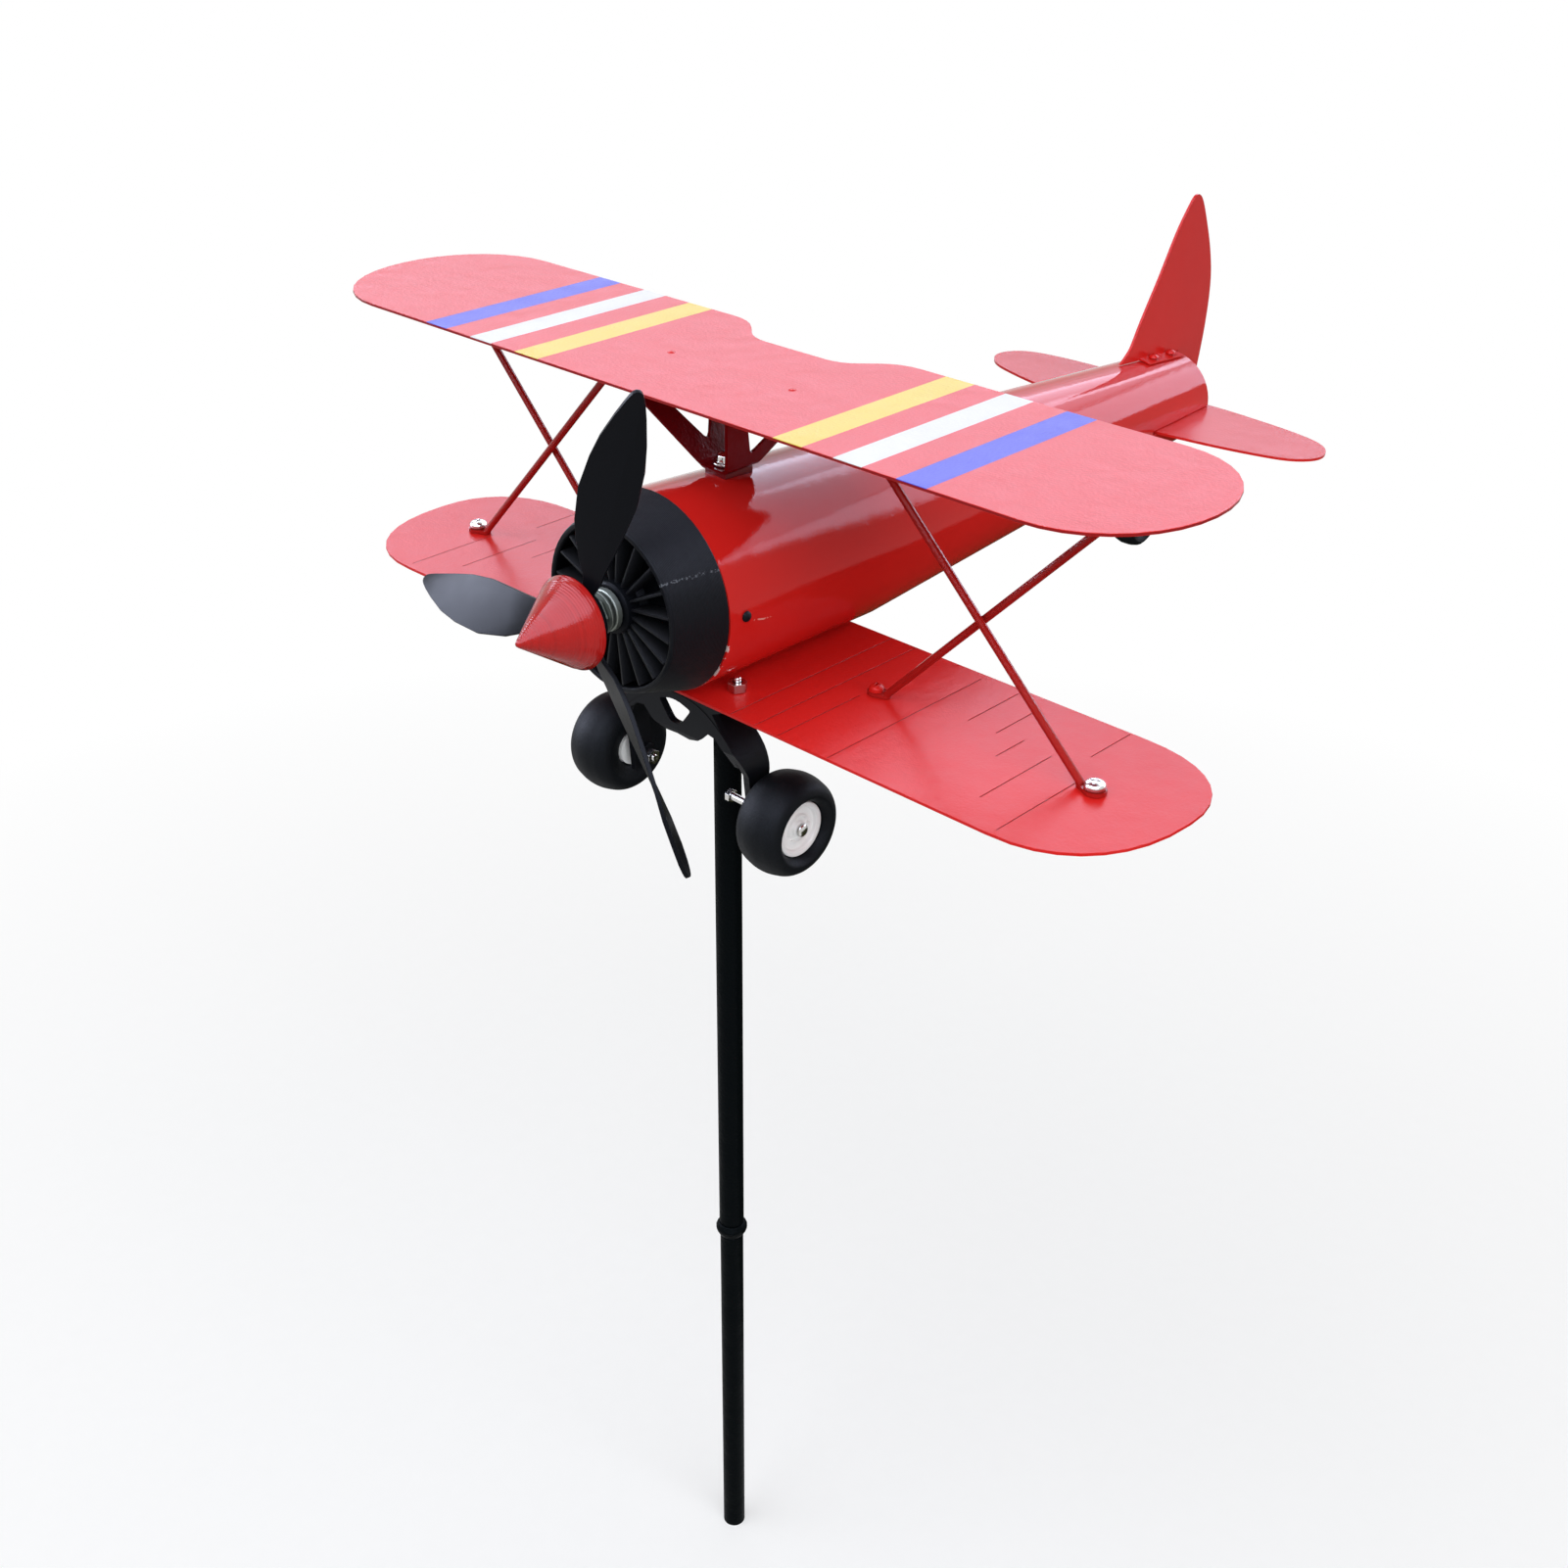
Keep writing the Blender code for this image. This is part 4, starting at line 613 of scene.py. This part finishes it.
def ease(bm, width, segments=2):
    """Rounds the edges that are sharper than a crease."""
    sharp = [e for e in bm.edges if e.is_manifold and e.calc_face_angle(0) > radians(CREASE)]
    if sharp and width > 0:
        bmesh.ops.bevel(
            bm,
            geom=sharp,
            offset=width,
            offset_type="OFFSET",
            affect="EDGES",
            segments=segments,
            profile=0.5,
            material=-1,
            clamp_overlap=True,
        )


def soften(bm, crease):
    """Smooth shading that breaks at edges sharper than the crease, in degrees."""
    for face in bm.faces:
        face.smooth = True
    for edge in bm.edges:
        edge.smooth = edge.calc_face_angle(pi) < radians(crease)


def piece(name, bm, body, finish_name, replaces=(), crease=CREASE, weighted=False):
    """Puts a finished mesh in the scene as a piece of the whirligig."""
    soften(bm, crease)
    mesh = bpy.data.meshes.new(name)
    bm.to_mesh(mesh)
    bm.free()
    mesh.materials.append(material(finish_name))
    obj = bpy.data.objects.new(name, mesh)
    bpy.context.scene.collection.objects.link(obj)
    if weighted:
        normals = obj.modifiers.new("flat_faces", "WEIGHTED_NORMAL")
        normals.keep_sharp = True
        normals.weight = 100
    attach(obj, body)
    if replaces:
        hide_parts(*replaces)
    return obj


def refined(node, finish_name, width=0.0, segments=2):
    """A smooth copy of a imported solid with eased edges, which stands for it."""
    bm = merged(node)
    ease(bm, width, segments)
    label = f"{node}_finished"
    return piece(label, bm, BODY_OF[node], finish_name, (node,), weighted=True)


AXES = {"X": Vector((1, 0, 0)), "Y": Vector((0, 1, 0)), "Z": Vector((0, 0, 1))}
SIDEWAYS = {"X": Vector((0, 1, 0)), "Y": Vector((1, 0, 0)), "Z": Vector((1, 0, 0))}


def turned(profile, axis, centre, steps=64, ring=False):
    """Spins a profile of (radius, distance along the axis), in metres from the centre."""
    bm = bmesh.new()
    out, along = SIDEWAYS[axis], AXES[axis]
    verts = [bm.verts.new(centre + out * r + along * d) for r, d in profile]
    edges = [bm.edges.new(pair) for pair in zip(verts, verts[1:])]
    if ring:
        edges.append(bm.edges.new((verts[-1], verts[0])))
    bmesh.ops.spin(
        bm,
        geom=verts + edges,
        cent=centre,
        axis=along,
        dvec=(0, 0, 0),
        angle=2 * pi,
        steps=steps,
        use_merge=True,
        use_duplicate=False,
    )
    bmesh.ops.remove_doubles(bm, verts=bm.verts, dist=0.001 * MM)
    bmesh.ops.recalc_face_normals(bm, faces=bm.faces)
    return bm


def rounded_profile(points, radius, steps=4):
    """The same profile with each inner corner cut by a small arc."""
    made = [points[0]]
    for before, at, after in zip(points, points[1:], points[2:]):
        a, b, c = Vector(before), Vector(at), Vector(after)
        first, second = a - b, c - b
        reach = min(radius, first.length * 0.45, second.length * 0.45)
        p, q = b + first.normalized() * reach, b + second.normalized() * reach
        for i in range(steps + 1):
            t = i / steps
            made.append(tuple(p * (1 - t) ** 2 + b * 2 * t * (1 - t) + q * t * t))
    made.append(points[-1])
    return made


def cut(obj, cutters):
    """Cuts closed meshes out of a finished piece."""
    tools = []
    for i, bm in enumerate(cutters):
        mesh = bpy.data.meshes.new(f"{obj.name}_cutter_{i}")
        bm.to_mesh(mesh)
        bm.free()
        tool = bpy.data.objects.new(mesh.name, mesh)
        bpy.context.scene.collection.objects.link(tool)
        tools.append(tool)
        modifier = obj.modifiers.new("cut", "BOOLEAN")
        modifier.operation = "DIFFERENCE"
        modifier.solver = "EXACT"
        modifier.object = tool
    bpy.context.view_layer.update()
    depsgraph = bpy.context.evaluated_depsgraph_get()
    result = bpy.data.meshes.new_from_object(obj.evaluated_get(depsgraph))
    obj.modifiers.clear()
    old, obj.data = obj.data, result
    bpy.data.meshes.remove(old)
    for tool in tools:
        bpy.data.objects.remove(tool, do_unlink=True)


def block(centre, size, turn=None):
    """A closed box of a size about its centre."""
    bm = bmesh.new()
    bmesh.ops.create_cube(bm, size=1)
    matrix = Matrix.Translation(centre) @ (turn or Matrix.Identity(4)) @ Matrix.Diagonal((*size, 1))
    bmesh.ops.transform(bm, matrix=matrix, verts=bm.verts)
    return bm


# ---------------------------------------------------------------- pieces

def pan_head(tag):
    """An upright pan-head screw with a cross recess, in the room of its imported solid."""
    node = f"screw_{tag}"
    low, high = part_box(node)
    centre = (low + high) / 2
    head, top = (high.x - low.x) / 2, (high.z - low.z) / 2
    shank, under = 1.5 * MM, top - 2.9 * MM
    profile = [
        (0, top),
        (head * 0.5, top - 0.12 * MM),
        (head * 0.86, top - 0.75 * MM),
        (head, top - 1.5 * MM),
        (head, under),
        (shank, under),
        (shank, -top),
        (0, -top),
    ]
    bm = turned(rounded_profile(profile, 0.35 * MM, 3), "Z", centre, 32)
    slot = SLOT_OF[node]
    finish_name = "red_enamel" if slot == "red_paint" else "plated_steel"
    screw = piece(f"{node}_crossed", bm, BODY_OF[node], finish_name, (node,), crease=45)
    face = centre + AXES["Z"] * top
    size = (head * 1.05, 0.75 * MM, 1.8 * MM)
    cut(screw, [block(face, size, Matrix.Rotation(radians(turn), 4, "Z")) for turn in (20, 110)])


class WHIRLIGIG_OT_stage(bpy.types.Operator):
    """Add the floor, the backdrop, the camera and the lights"""

    bl_idname = "whirligig.stage"
    bl_label = "Stage"

    def execute(self, context):
        studio = context.scene.whirligig_studio
        add_camera(context, studio)
        add_floor(context, studio)
        add_room(context, studio)
        add_card(context)
        for name, turn, height, wide, tall, brightness in REFLECTED:
            panel = softbox(context, name, turn, height, 4.0, (wide, tall), brightness, COOL)
            panel.visible_diffuse = False
        for name, turn, height, brightness in (
            ("key_softbox", -22, 30, studio.key_level),
            ("front_softbox", -110, 45, studio.front_level),
            ("top_softbox", 135, 64, studio.top_level),
        ):
            lamp = softbox(context, name, turn, height, 1.8, (1.8, 1.8), brightness, DAYLIGHT)
            lamp.visible_glossy = False
        return {"FINISHED"}


def add_camera(context, studio):
    az, el, roll = studio.azimuth, studio.elevation, studio.roll
    back = Vector((sin(az) * cos(el), -cos(az) * cos(el), sin(el)))
    right = Vector((cos(az), sin(az), 0))
    up = back.cross(right)
    turned_right = right * cos(roll) + up * sin(roll)
    turned_up = up * cos(roll) - right * sin(roll)
    data = bpy.data.cameras.new("camera")
    data.sensor_width = 36
    data.lens = studio.lens
    data.clip_start = 0.01
    data.clip_end = 200
    camera = bpy.data.objects.new("camera", data)
    context.scene.collection.objects.link(camera)
    turn = Matrix((turned_right, turned_up, back)).transposed().to_4x4()
    camera.matrix_world = Matrix.Translation(Vector(studio.camera_place)) @ turn
    context.scene.camera = camera
    context.scene.view_settings.view_transform = "Standard"


def seen_directly(g):
    """1 for rays that show the background: to the eye, in a reflection or through glass."""
    path = g.add("ShaderNodeLightPath").outputs
    seen = g.math("MAXIMUM", path["Is Camera Ray"], path["Is Glossy Ray"])
    return g.math("MAXIMUM", seen, path["Is Transmission Ray"])


def add_floor(context, studio):
    """A wide disc that fades into the white backdrop away from the stake."""
    bm = bmesh.new()
    bmesh.ops.create_circle(bm, cap_ends=True, segments=96, radius=30.0)
    mesh = bpy.data.meshes.new("floor")
    bm.to_mesh(mesh)
    bm.free()
    floor = bpy.data.objects.new("floor", mesh)
    context.scene.collection.objects.link(floor)
    made, g, shader = new_material("pale_floor", Roughness=0.9, Specular_IOR_Level=0.1)
    seen = seen_directly(g)
    place = g.add("ShaderNodeTexCoord").outputs["Object"]
    tone = studio.floor_tone
    grain = g.range(g.noise(place, 90.0, 3.0), 0.3, 0.7, tone - 0.01, tone + 0.01)
    shade = g.math("MULTIPLY", grain, g.range(seen, 0.0, 1.0, 0.5, 1.0))
    grey = g.add("ShaderNodeCombineColor", {0: shade, 1: shade, 2: shade}).outputs[0]
    g.feed(shader.inputs["Base Color"], grey)
    away = g.add("ShaderNodeVectorMath", {0: place}, operation="LENGTH").outputs["Value"]
    fade = g.math("MULTIPLY", g.range(away, 0.1, 1.0, 0.45, 1.0), seen)
    glow = g.add("ShaderNodeEmission", {"Color": (1, 1, 1, 1), "Strength": 1.0})
    both = g.add("ShaderNodeMixShader", {0: fade, 1: shader.outputs[0], 2: glow.outputs[0]})
    out = made.node_tree.nodes["Material Output"]
    g.feed(out.inputs["Surface"], both.outputs[0])
    mesh.materials.append(made)


def add_room(context, studio):
    """White where the background is seen, and an even soft light elsewhere."""
    world = bpy.data.worlds.new("room")
    context.scene.world = world
    world.use_nodes = True
    g = Graph(world.node_tree)
    back = world.node_tree.nodes["Background"]
    back.inputs["Color"].default_value = (1, 1, 1, 1)
    g.feed(back.inputs["Strength"], g.range(seen_directly(g), 0.0, 1.0, studio.room_level, 1.0))


def add_card(context):
    """A dark card on the floor behind the tail, which only gloss shows."""
    bm = bmesh.new()
    place = Matrix.Translation((0, 0.7, 0.01)) @ Matrix.Diagonal((1.05, 0.6, 1, 1))
    bmesh.ops.create_grid(bm, x_segments=1, y_segments=1, size=1, matrix=place)
    mesh = bpy.data.meshes.new("dark_card")
    bm.to_mesh(mesh)
    bm.free()
    card = bpy.data.objects.new("dark_card", mesh)
    context.scene.collection.objects.link(card)
    values = {"Base_Color": (0.05, 0.05, 0.02, 1), "Roughness": 0.9, **shine(0.0)}
    mesh.materials.append(new_material("dark_card", **values)[0])
    for kind in ("camera", "diffuse", "shadow", "transmission"):
        setattr(card, f"visible_{kind}", False)


AIM = Vector((0, 0.06, 0.53))
COOL, DAYLIGHT = (0.72, 0.78, 1.0), (0.93, 0.96, 1.0)
# Panels that only gloss shows: name, turn from port and height above the part in degrees,
# width, height and brightness
REFLECTED = (
    ("low_sky", 132, 16.5, 5.2, 0.75, 0.75),
    ("middle_sky", 132, 22, 5.2, 0.75, 1.25),
    ("high_sky", 128, 34, 4.8, 1.7, 7.4),
    ("tail_low_sky", 72, 18, 2.6, 1.4, 10.0),
    ("tail_high_sky", 76, 44, 2.9, 2.2, 6.0),
    ("front_sky", -84, 60, 9.6, 5.2, 7.5),
    ("starboard_sky", -156, 14, 2.6, 1.7, 19.0),
)


def softbox(context, name, turn, height, distance, size, brightness, tone):
    """A rectangular lamp of a given brightness that faces the whirligig."""
    turn, height = radians(turn), radians(height)
    away = Vector((cos(turn) * cos(height), sin(turn) * cos(height), sin(height)))
    data = bpy.data.lights.new(name, "AREA")
    data.shape = "RECTANGLE"
    data.size, data.size_y = size
    data.energy = brightness * pi * size[0] * size[1]
    data.color = tone
    lamp = bpy.data.objects.new(name, data)
    context.scene.collection.objects.link(lamp)
    lamp.location = AIM + away * distance
    lamp.rotation_euler = away.to_track_quat("Z", "Y").to_euler()
    lamp.visible_camera = False
    return lamp


class WHIRLIGIG_OT_stake(bpy.types.Operator):
    """Add the painted stake: spike, tubes and joint ring"""

    bl_idname = "whirligig.stake"
    bl_label = "Stake"

    def execute(self, context):
        for node in ("pole_upper", "pole_lower", "ground_spike", "pole_coupling"):
            refined(node, "pole_coat", 0.3 * MM)
        return {"FINISHED"}


class WHIRLIGIG_OT_wings(bpy.types.Operator):
    """Add the two sheet metal wings with bands, score lines and rivets"""

    bl_idname = "whirligig.wings"
    bl_label = "Wings"

    def execute(self, context):
        edge = context.scene.whirligig_sizes.sheet_edge
        refined("upper_wing", "upper_wing_enamel", edge)
        refined("lower_wing", "lower_wing_enamel", edge)
        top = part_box("upper_wing")[1].z
        for side, tag in ((1, "port"), (-1, "starboard")):
            profile = [(0, 0.5), (0.8, 0.42), (1.4, 0.15), (1.55, 0.02)]
            at = Vector((side * 30.3 * MM, 3.0 * MM, top))
            bm = turned([(r * MM, d * MM) for r, d in profile], "Z", at, 20)
            piece(f"wing_rivet_{tag}", bm, "airframe", "red_enamel")
        return {"FINISHED"}


class WHIRLIGIG_OT_fuselage(bpy.types.Operator):
    """Add the gloss shell, its firewall and side screws"""

    bl_idname = "whirligig.fuselage"
    bl_label = "Fuselage"

    def execute(self, context):
        refined("fuselage_shell", "shell_enamel", 0.25 * MM)
        refined("firewall", "leg_plastic", 0.2 * MM)
        refined("tail_block", "leg_plastic", 0.2 * MM)
        refined("swivel_socket", "pole_coat", 0.1 * MM)
        for tag in SIDES:
            refined(f"side_screw_{tag}", "leg_plastic", 0.1 * MM)
        return {"FINISHED"}


class WHIRLIGIG_OT_engine(bpy.types.Operator):
    """Add the printed cowl and the finned engine face"""

    bl_idname = "whirligig.engine"
    bl_label = "Cowl and engine"

    def execute(self, context):
        refined("cowl_ring", "cowl_plastic", 0.2 * MM)
        engine_face()
        refined("front_bearing", "dull_steel", 0.15 * MM)
        refined("rear_bearing", "plain_brass", 0.1 * MM)
        refined("bearing_spacer", "plain_brass", 0.1 * MM)
        return {"FINISHED"}


# Engine face in millimetres: radii of its bore and boss, its disc, and the fins' half thickness
ENGINE_BORE, ENGINE_BOSS, ENGINE_DISC = 5.3, 9.8, 3.5
FINS, FIN_EDGE, FIN_ROOT = 20, 0.45, 0.75


def engine_face():
    """Disc and small boss, with fins that run out to the cowl."""
    low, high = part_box("engine_face")
    radius, front, back = (high.x - low.x) / 2 / MM, low.y / MM, high.y / MM
    centre = Vector(((low.x + high.x) / 2, 0, (low.z + high.z) / 2))
    bore, boss, disc = ENGINE_BORE, ENGINE_BOSS, back - ENGINE_DISC
    profile = [(bore, back), (radius, back), (radius - 1.0, disc), (boss + 2.4, disc)]
    profile += [(boss, disc - 2.4), (boss, front + 0.9), (boss - 0.9, front), (bore, front)]
    bm = turned([(r * MM, y * MM) for r, y in profile], "Y", centre, 72, ring=True)
    ease(bm, 0.2 * MM)
    piece("engine_disc", bm, "airframe", "engine_plastic", ("engine_face",))
    bm = bmesh.new()
    for i in range(FINS):
        turn = 2 * pi * (i + 0.5) / FINS
        out, across = Vector((cos(turn), 0, sin(turn))), Vector((-sin(turn), 0, cos(turn)))
        for vert in bmesh.ops.create_cube(bm, size=2)["verts"]:
            far, rear, side = vert.co.x > 0, vert.co.y > 0, vert.co.z
            depth = disc + 1.0 if rear else front + (1.4 if far else 2.4)
            reach = radius - 2.2 if far else boss - 0.6
            arm = out * reach + across * side * (FIN_ROOT if rear else FIN_EDGE)
            vert.co = centre + (arm + Vector((0, depth, 0))) * MM
    ease(bm, 0.12 * MM)
    piece("engine_fins", bm, "airframe", "fin_plastic")


class WHIRLIGIG_OT_propeller(bpy.types.Operator):
    """Add the blades, their hub, the layered nose cone and the shaft"""

    bl_idname = "whirligig.propeller"
    bl_label = "Propeller"

    def execute(self, context):
        for i in (1, 2, 3):
            refined(f"blade_{i}", "blade_plastic", 0.4 * MM, segments=3)
        refined("propeller_hub", "engine_plastic", 0.2 * MM)
        nose_cone(context)
        for node in ("shaft_nut", "shaft_washer", "shaft_collar", "propeller_shaft"):
            refined(node, "dull_steel", 0.2 * MM)
        return {"FINISHED"}


def nose_cone(context):
    """Cone laid in layers, each a little proud at its edge."""
    low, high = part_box("spinner_cone")
    radius = (high.x - low.x) / 2
    centre = Vector(((low.x + high.x) / 2, 0, (low.z + high.z) / 2))
    base, tip = high.y, low.y
    bore, bore_end = 2.4 * MM, base - 5.0 * MM
    profile = [(0, bore_end), (bore, bore_end), (bore, base), (radius - 1.0 * MM, base)]
    profile += [(radius - 0.2 * MM, base - 0.3 * MM), (radius, base - 1.2 * MM)]
    first, last = base - 3 * MM, tip + 0.9 * MM
    wide, narrow = radius - 1.0 * MM, 1.3 * MM
    layers = round((first - tip) / context.scene.whirligig_sizes.cone_layer)
    for i in range(layers):
        for share, proud in ((0.12, -0.05), (0.35, 0.05), (0.8, 0.05)):
            t = (i + share) / layers
            profile.append((wide + (narrow - wide) * t + proud * MM, first + (last - first) * t))
    profile += [(0.8 * MM, tip + 0.25 * MM), (0, tip)]
    bm = turned(profile, "Y", centre, 96)
    slot, finish_name = "red_plastic", "cone_plastic"
    piece("nose_cone_layered", bm, "propeller", finish_name, ("spinner_cone",), crease=50)


class WHIRLIGIG_OT_struts(bpy.types.Operator):
    """Add the crossed wing struts and the screws at their feet"""

    bl_idname = "whirligig.struts"
    bl_label = "Struts"

    def execute(self, context):
        for tag in SIDES:
            for place in ("inner", "outer"):
                refined(f"strut_{place}_{tag}", "strut_enamel", 0.15 * MM)
                pan_head(f"{place}_{tag}")
            refined(f"root_screw_{tag}", "plated_steel", 0.2 * MM)
            refined(f"root_nut_{tag}", "plated_steel", 0.3 * MM)
        return {"FINISHED"}


class WHIRLIGIG_OT_cabane(bpy.types.Operator):
    """Add the bent bracket that carries the upper wing, with its screw"""

    bl_idname = "whirligig.cabane"
    bl_label = "Wing bracket"

    def execute(self, context):
        # The bracket's darker red is painted shade
        refined("cabane_bracket", "shaded_enamel", 0.25 * MM)
        low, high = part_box("cabane_bracket")
        size = Vector((10.4, 14.6, 4.4)) * MM
        centre = Vector(((low.x + high.x) / 2, (low.y + high.y) / 2, low.z - size.z / 2))
        # The pad carries the same painted shade
        bedding("cabane_pad", centre, size, "shaded_enamel")
        refined("cabane_screw", "plated_steel", 0.3 * MM)
        return {"FINISHED"}


def bedding(name, centre, size, finish_name):
    """A pad that beds a flat bracket on the round shell and sinks a little into it."""
    bm = block(centre, size)
    ease(bm, 0.5 * MM, segments=3)
    piece(name, bm, "airframe", finish_name)


# Shares of the tyre's radius: its seat on the rim and on the hub's inner end
RIM, WELL = 0.5616, 0.3645


def outward(tag):
    """1 on the port side and -1 on the starboard side."""
    return 1 if tag == "port" else -1


def balloon_tyre(tag):
    """A soft tyre with a flat tread, full shoulders and an edge that turns in to the rim."""
    low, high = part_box(f"tyre_{tag}")
    radius, half = (high.z - low.z) / 2 / MM, (high.x - low.x) / 2 / MM
    rim, well = RIM * radius, WELL * radius
    shoulder = [(6.2, 0.0), (3.2, 1.0), (1.3, 3.6), (0.0, half - 2.0)]
    outer = [(radius - a, half - b) for a, b in shoulder]
    inner = [(radius - a, b - half) for a, b in reversed(shoulder)]
    profile = [(rim, 0), (rim, half - 3.0), (rim + 1.2, half - 1.2), *outer, *inner]
    profile += [(well + 2.2, 1.4 - half), (well, 2.6 - half), (well, -4.4), (rim, -3.4)]
    side = outward(tag)
    points = [(r * MM, side * d * MM) for r, d in rounded_profile(profile, 2.2, 5)]
    bm = turned(points, "X", (low + high) / 2, 96, ring=True)
    name, body = f"tyre_{tag}_rounded", f"wheel_{tag}"
    piece(name, bm, body, "tyre_rubber", (f"tyre_{tag}",), crease=50)


def wheel_hub(tag):
    """A printed hub: raised rim, sunk web, split ring and boss round the axle."""
    low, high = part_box(f"hub_{tag}")
    tyre_low, tyre_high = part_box(f"tyre_{tag}")
    centre = (tyre_low + tyre_high) / 2
    side = outward(tag)
    face = ((high.x if side > 0 else -low.x) - side * centre.x) / MM
    back = -((high.x - low.x) / MM - face)
    rim, bore = (high.z - low.z) / 2 / MM, 1.8
    well = WELL * (tyre_high.z - tyre_low.z) / 2 / MM - 0.3
    web, crown = face - 2.2, face - 0.8
    boss = [(bore, 0), (bore, face - 0.4), (2.9, face - 0.4), (3.3, web)]
    split_ring = [(4.7, web), (4.9, crown), (5.7, crown), (5.9, web)]
    lip = [(rim - 2.5, web), (rim - 2.0, face - 0.2), (rim - 0.4, face), (rim, face - 0.4)]
    profile = boss + split_ring + lip
    profile += [(rim, -2.6), (well, -3.9), (well, back), (bore, back)]
    points = [(r * MM, side * d * MM) for r, d in rounded_profile(profile, 0.3, 2)]
    bm = turned(points, "X", centre, 64, ring=True)
    name, body = f"hub_{tag}_printed", f"wheel_{tag}"
    hub = piece(name, bm, body, "hub_plastic", (f"hub_{tag}",), crease=40)
    gaps = []
    for turn in (radians(25), radians(205)):
        arm = Vector((0, cos(turn), sin(turn))) * 5.3 * MM
        at = centre + arm + Vector((side * (web + 1.05) * MM, 0, 0))
        gaps.append(block(at, Vector((2.0, 1.8, 2.6)) * MM, Matrix.Rotation(turn, 4, "X")))
    cut(hub, gaps)


class WHIRLIGIG_OT_landing_gear(bpy.types.Operator):
    """Add the arched legs, the axles and the balloon wheels"""

    bl_idname = "whirligig.landing_gear"
    bl_label = "Landing gear"

    def execute(self, context):
        refined("landing_gear", "leg_plastic", context.scene.whirligig_sizes.mould_edge)
        for tag in SIDES:
            refined(f"axle_{tag}", "plated_steel", 0.2 * MM)
            refined(f"axle_nut_{tag}", "plated_steel", 0.3 * MM)
            balloon_tyre(tag)
            wheel_hub(tag)
        return {"FINISHED"}


class WHIRLIGIG_OT_tail(bpy.types.Operator):
    """Add the tailplane, the fin and the small tail wheel"""

    bl_idname = "whirligig.tail"
    bl_label = "Tail"

    def execute(self, context):
        edge = context.scene.whirligig_sizes.sheet_edge
        refined("stabiliser", "red_enamel", edge)
        refined("fin", "red_enamel", edge)
        refined("fin_screw_front", "red_enamel", 0.15 * MM)
        refined("fin_screw_rear", "red_enamel", 0.15 * MM)
        refined("tail_bracket", "pole_coat", 0.2 * MM)
        low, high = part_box("tail_bracket")
        size = Vector((high.x - low.x - 4.4 * MM, high.y - low.y - 1.2 * MM, 5.0 * MM))
        centre = Vector(((low.x + high.x) / 2, (low.y + high.y) / 2, high.z + size.z / 2))
        bedding("tail_pad", centre, size, "tyre_rubber")
        refined("tail_axle", "plated_steel", 0.2 * MM)
        refined("tail_tyre", "tyre_rubber")
        refined("tail_hub", "hub_plastic", 0.2 * MM)
        refined("swivel_pin", "plated_steel", 0.2 * MM)
        return {"FINISHED"}


class WHIRLIGIG_PT_panel(bpy.types.Panel):
    """Lists the pieces and their settings"""

    bl_idname = "WHIRLIGIG_PT_panel"
    bl_label = "Biplane whirligig"
    bl_space_type = "VIEW_3D"
    bl_region_type = "UI"
    bl_category = "Whirligig"

    def draw(self, context):
        layout = self.layout
        for operator in OPERATORS:
            layout.operator(operator.bl_idname)
        for group_name in GROUPS:
            box = layout.box()
            settings = getattr(context.scene, group_name)
            for key in settings.bl_rna.properties.keys():
                if key not in ("rna_type", "name"):
                    box.prop(settings, key)


GROUPS = {
    "whirligig_paint": WhirligigPaint,
    "whirligig_sizes": WhirligigSizes,
    "whirligig_studio": WhirligigStudio,
}
OPERATORS = (
    WHIRLIGIG_OT_stage,
    WHIRLIGIG_OT_stake,
    WHIRLIGIG_OT_wings,
    WHIRLIGIG_OT_fuselage,
    WHIRLIGIG_OT_engine,
    WHIRLIGIG_OT_propeller,
    WHIRLIGIG_OT_struts,
    WHIRLIGIG_OT_cabane,
    WHIRLIGIG_OT_landing_gear,
    WHIRLIGIG_OT_tail,
)


def register():
    for name, kind in GROUPS.items():
        bpy.utils.register_class(kind)
        setattr(bpy.types.Scene, name, PointerProperty(type=kind))
    for operator in OPERATORS:
        bpy.utils.register_class(operator)
    bpy.utils.register_class(WHIRLIGIG_PT_panel)


def unregister():
    bpy.utils.unregister_class(WHIRLIGIG_PT_panel)
    for operator in reversed(OPERATORS):
        bpy.utils.unregister_class(operator)
    for name, kind in GROUPS.items():
        delattr(bpy.types.Scene, name)
        bpy.utils.unregister_class(kind)


def main():
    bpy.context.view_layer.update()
    register()
    define_finishes()
    bpy.ops.whirligig.stage()
    bpy.ops.whirligig.stake()
    bpy.ops.whirligig.wings()
    bpy.ops.whirligig.fuselage()
    bpy.ops.whirligig.engine()
    bpy.ops.whirligig.propeller()
    bpy.ops.whirligig.struts()
    bpy.ops.whirligig.cabane()
    bpy.ops.whirligig.landing_gear()
    bpy.ops.whirligig.tail()


if __name__ == "__main__":
    main()
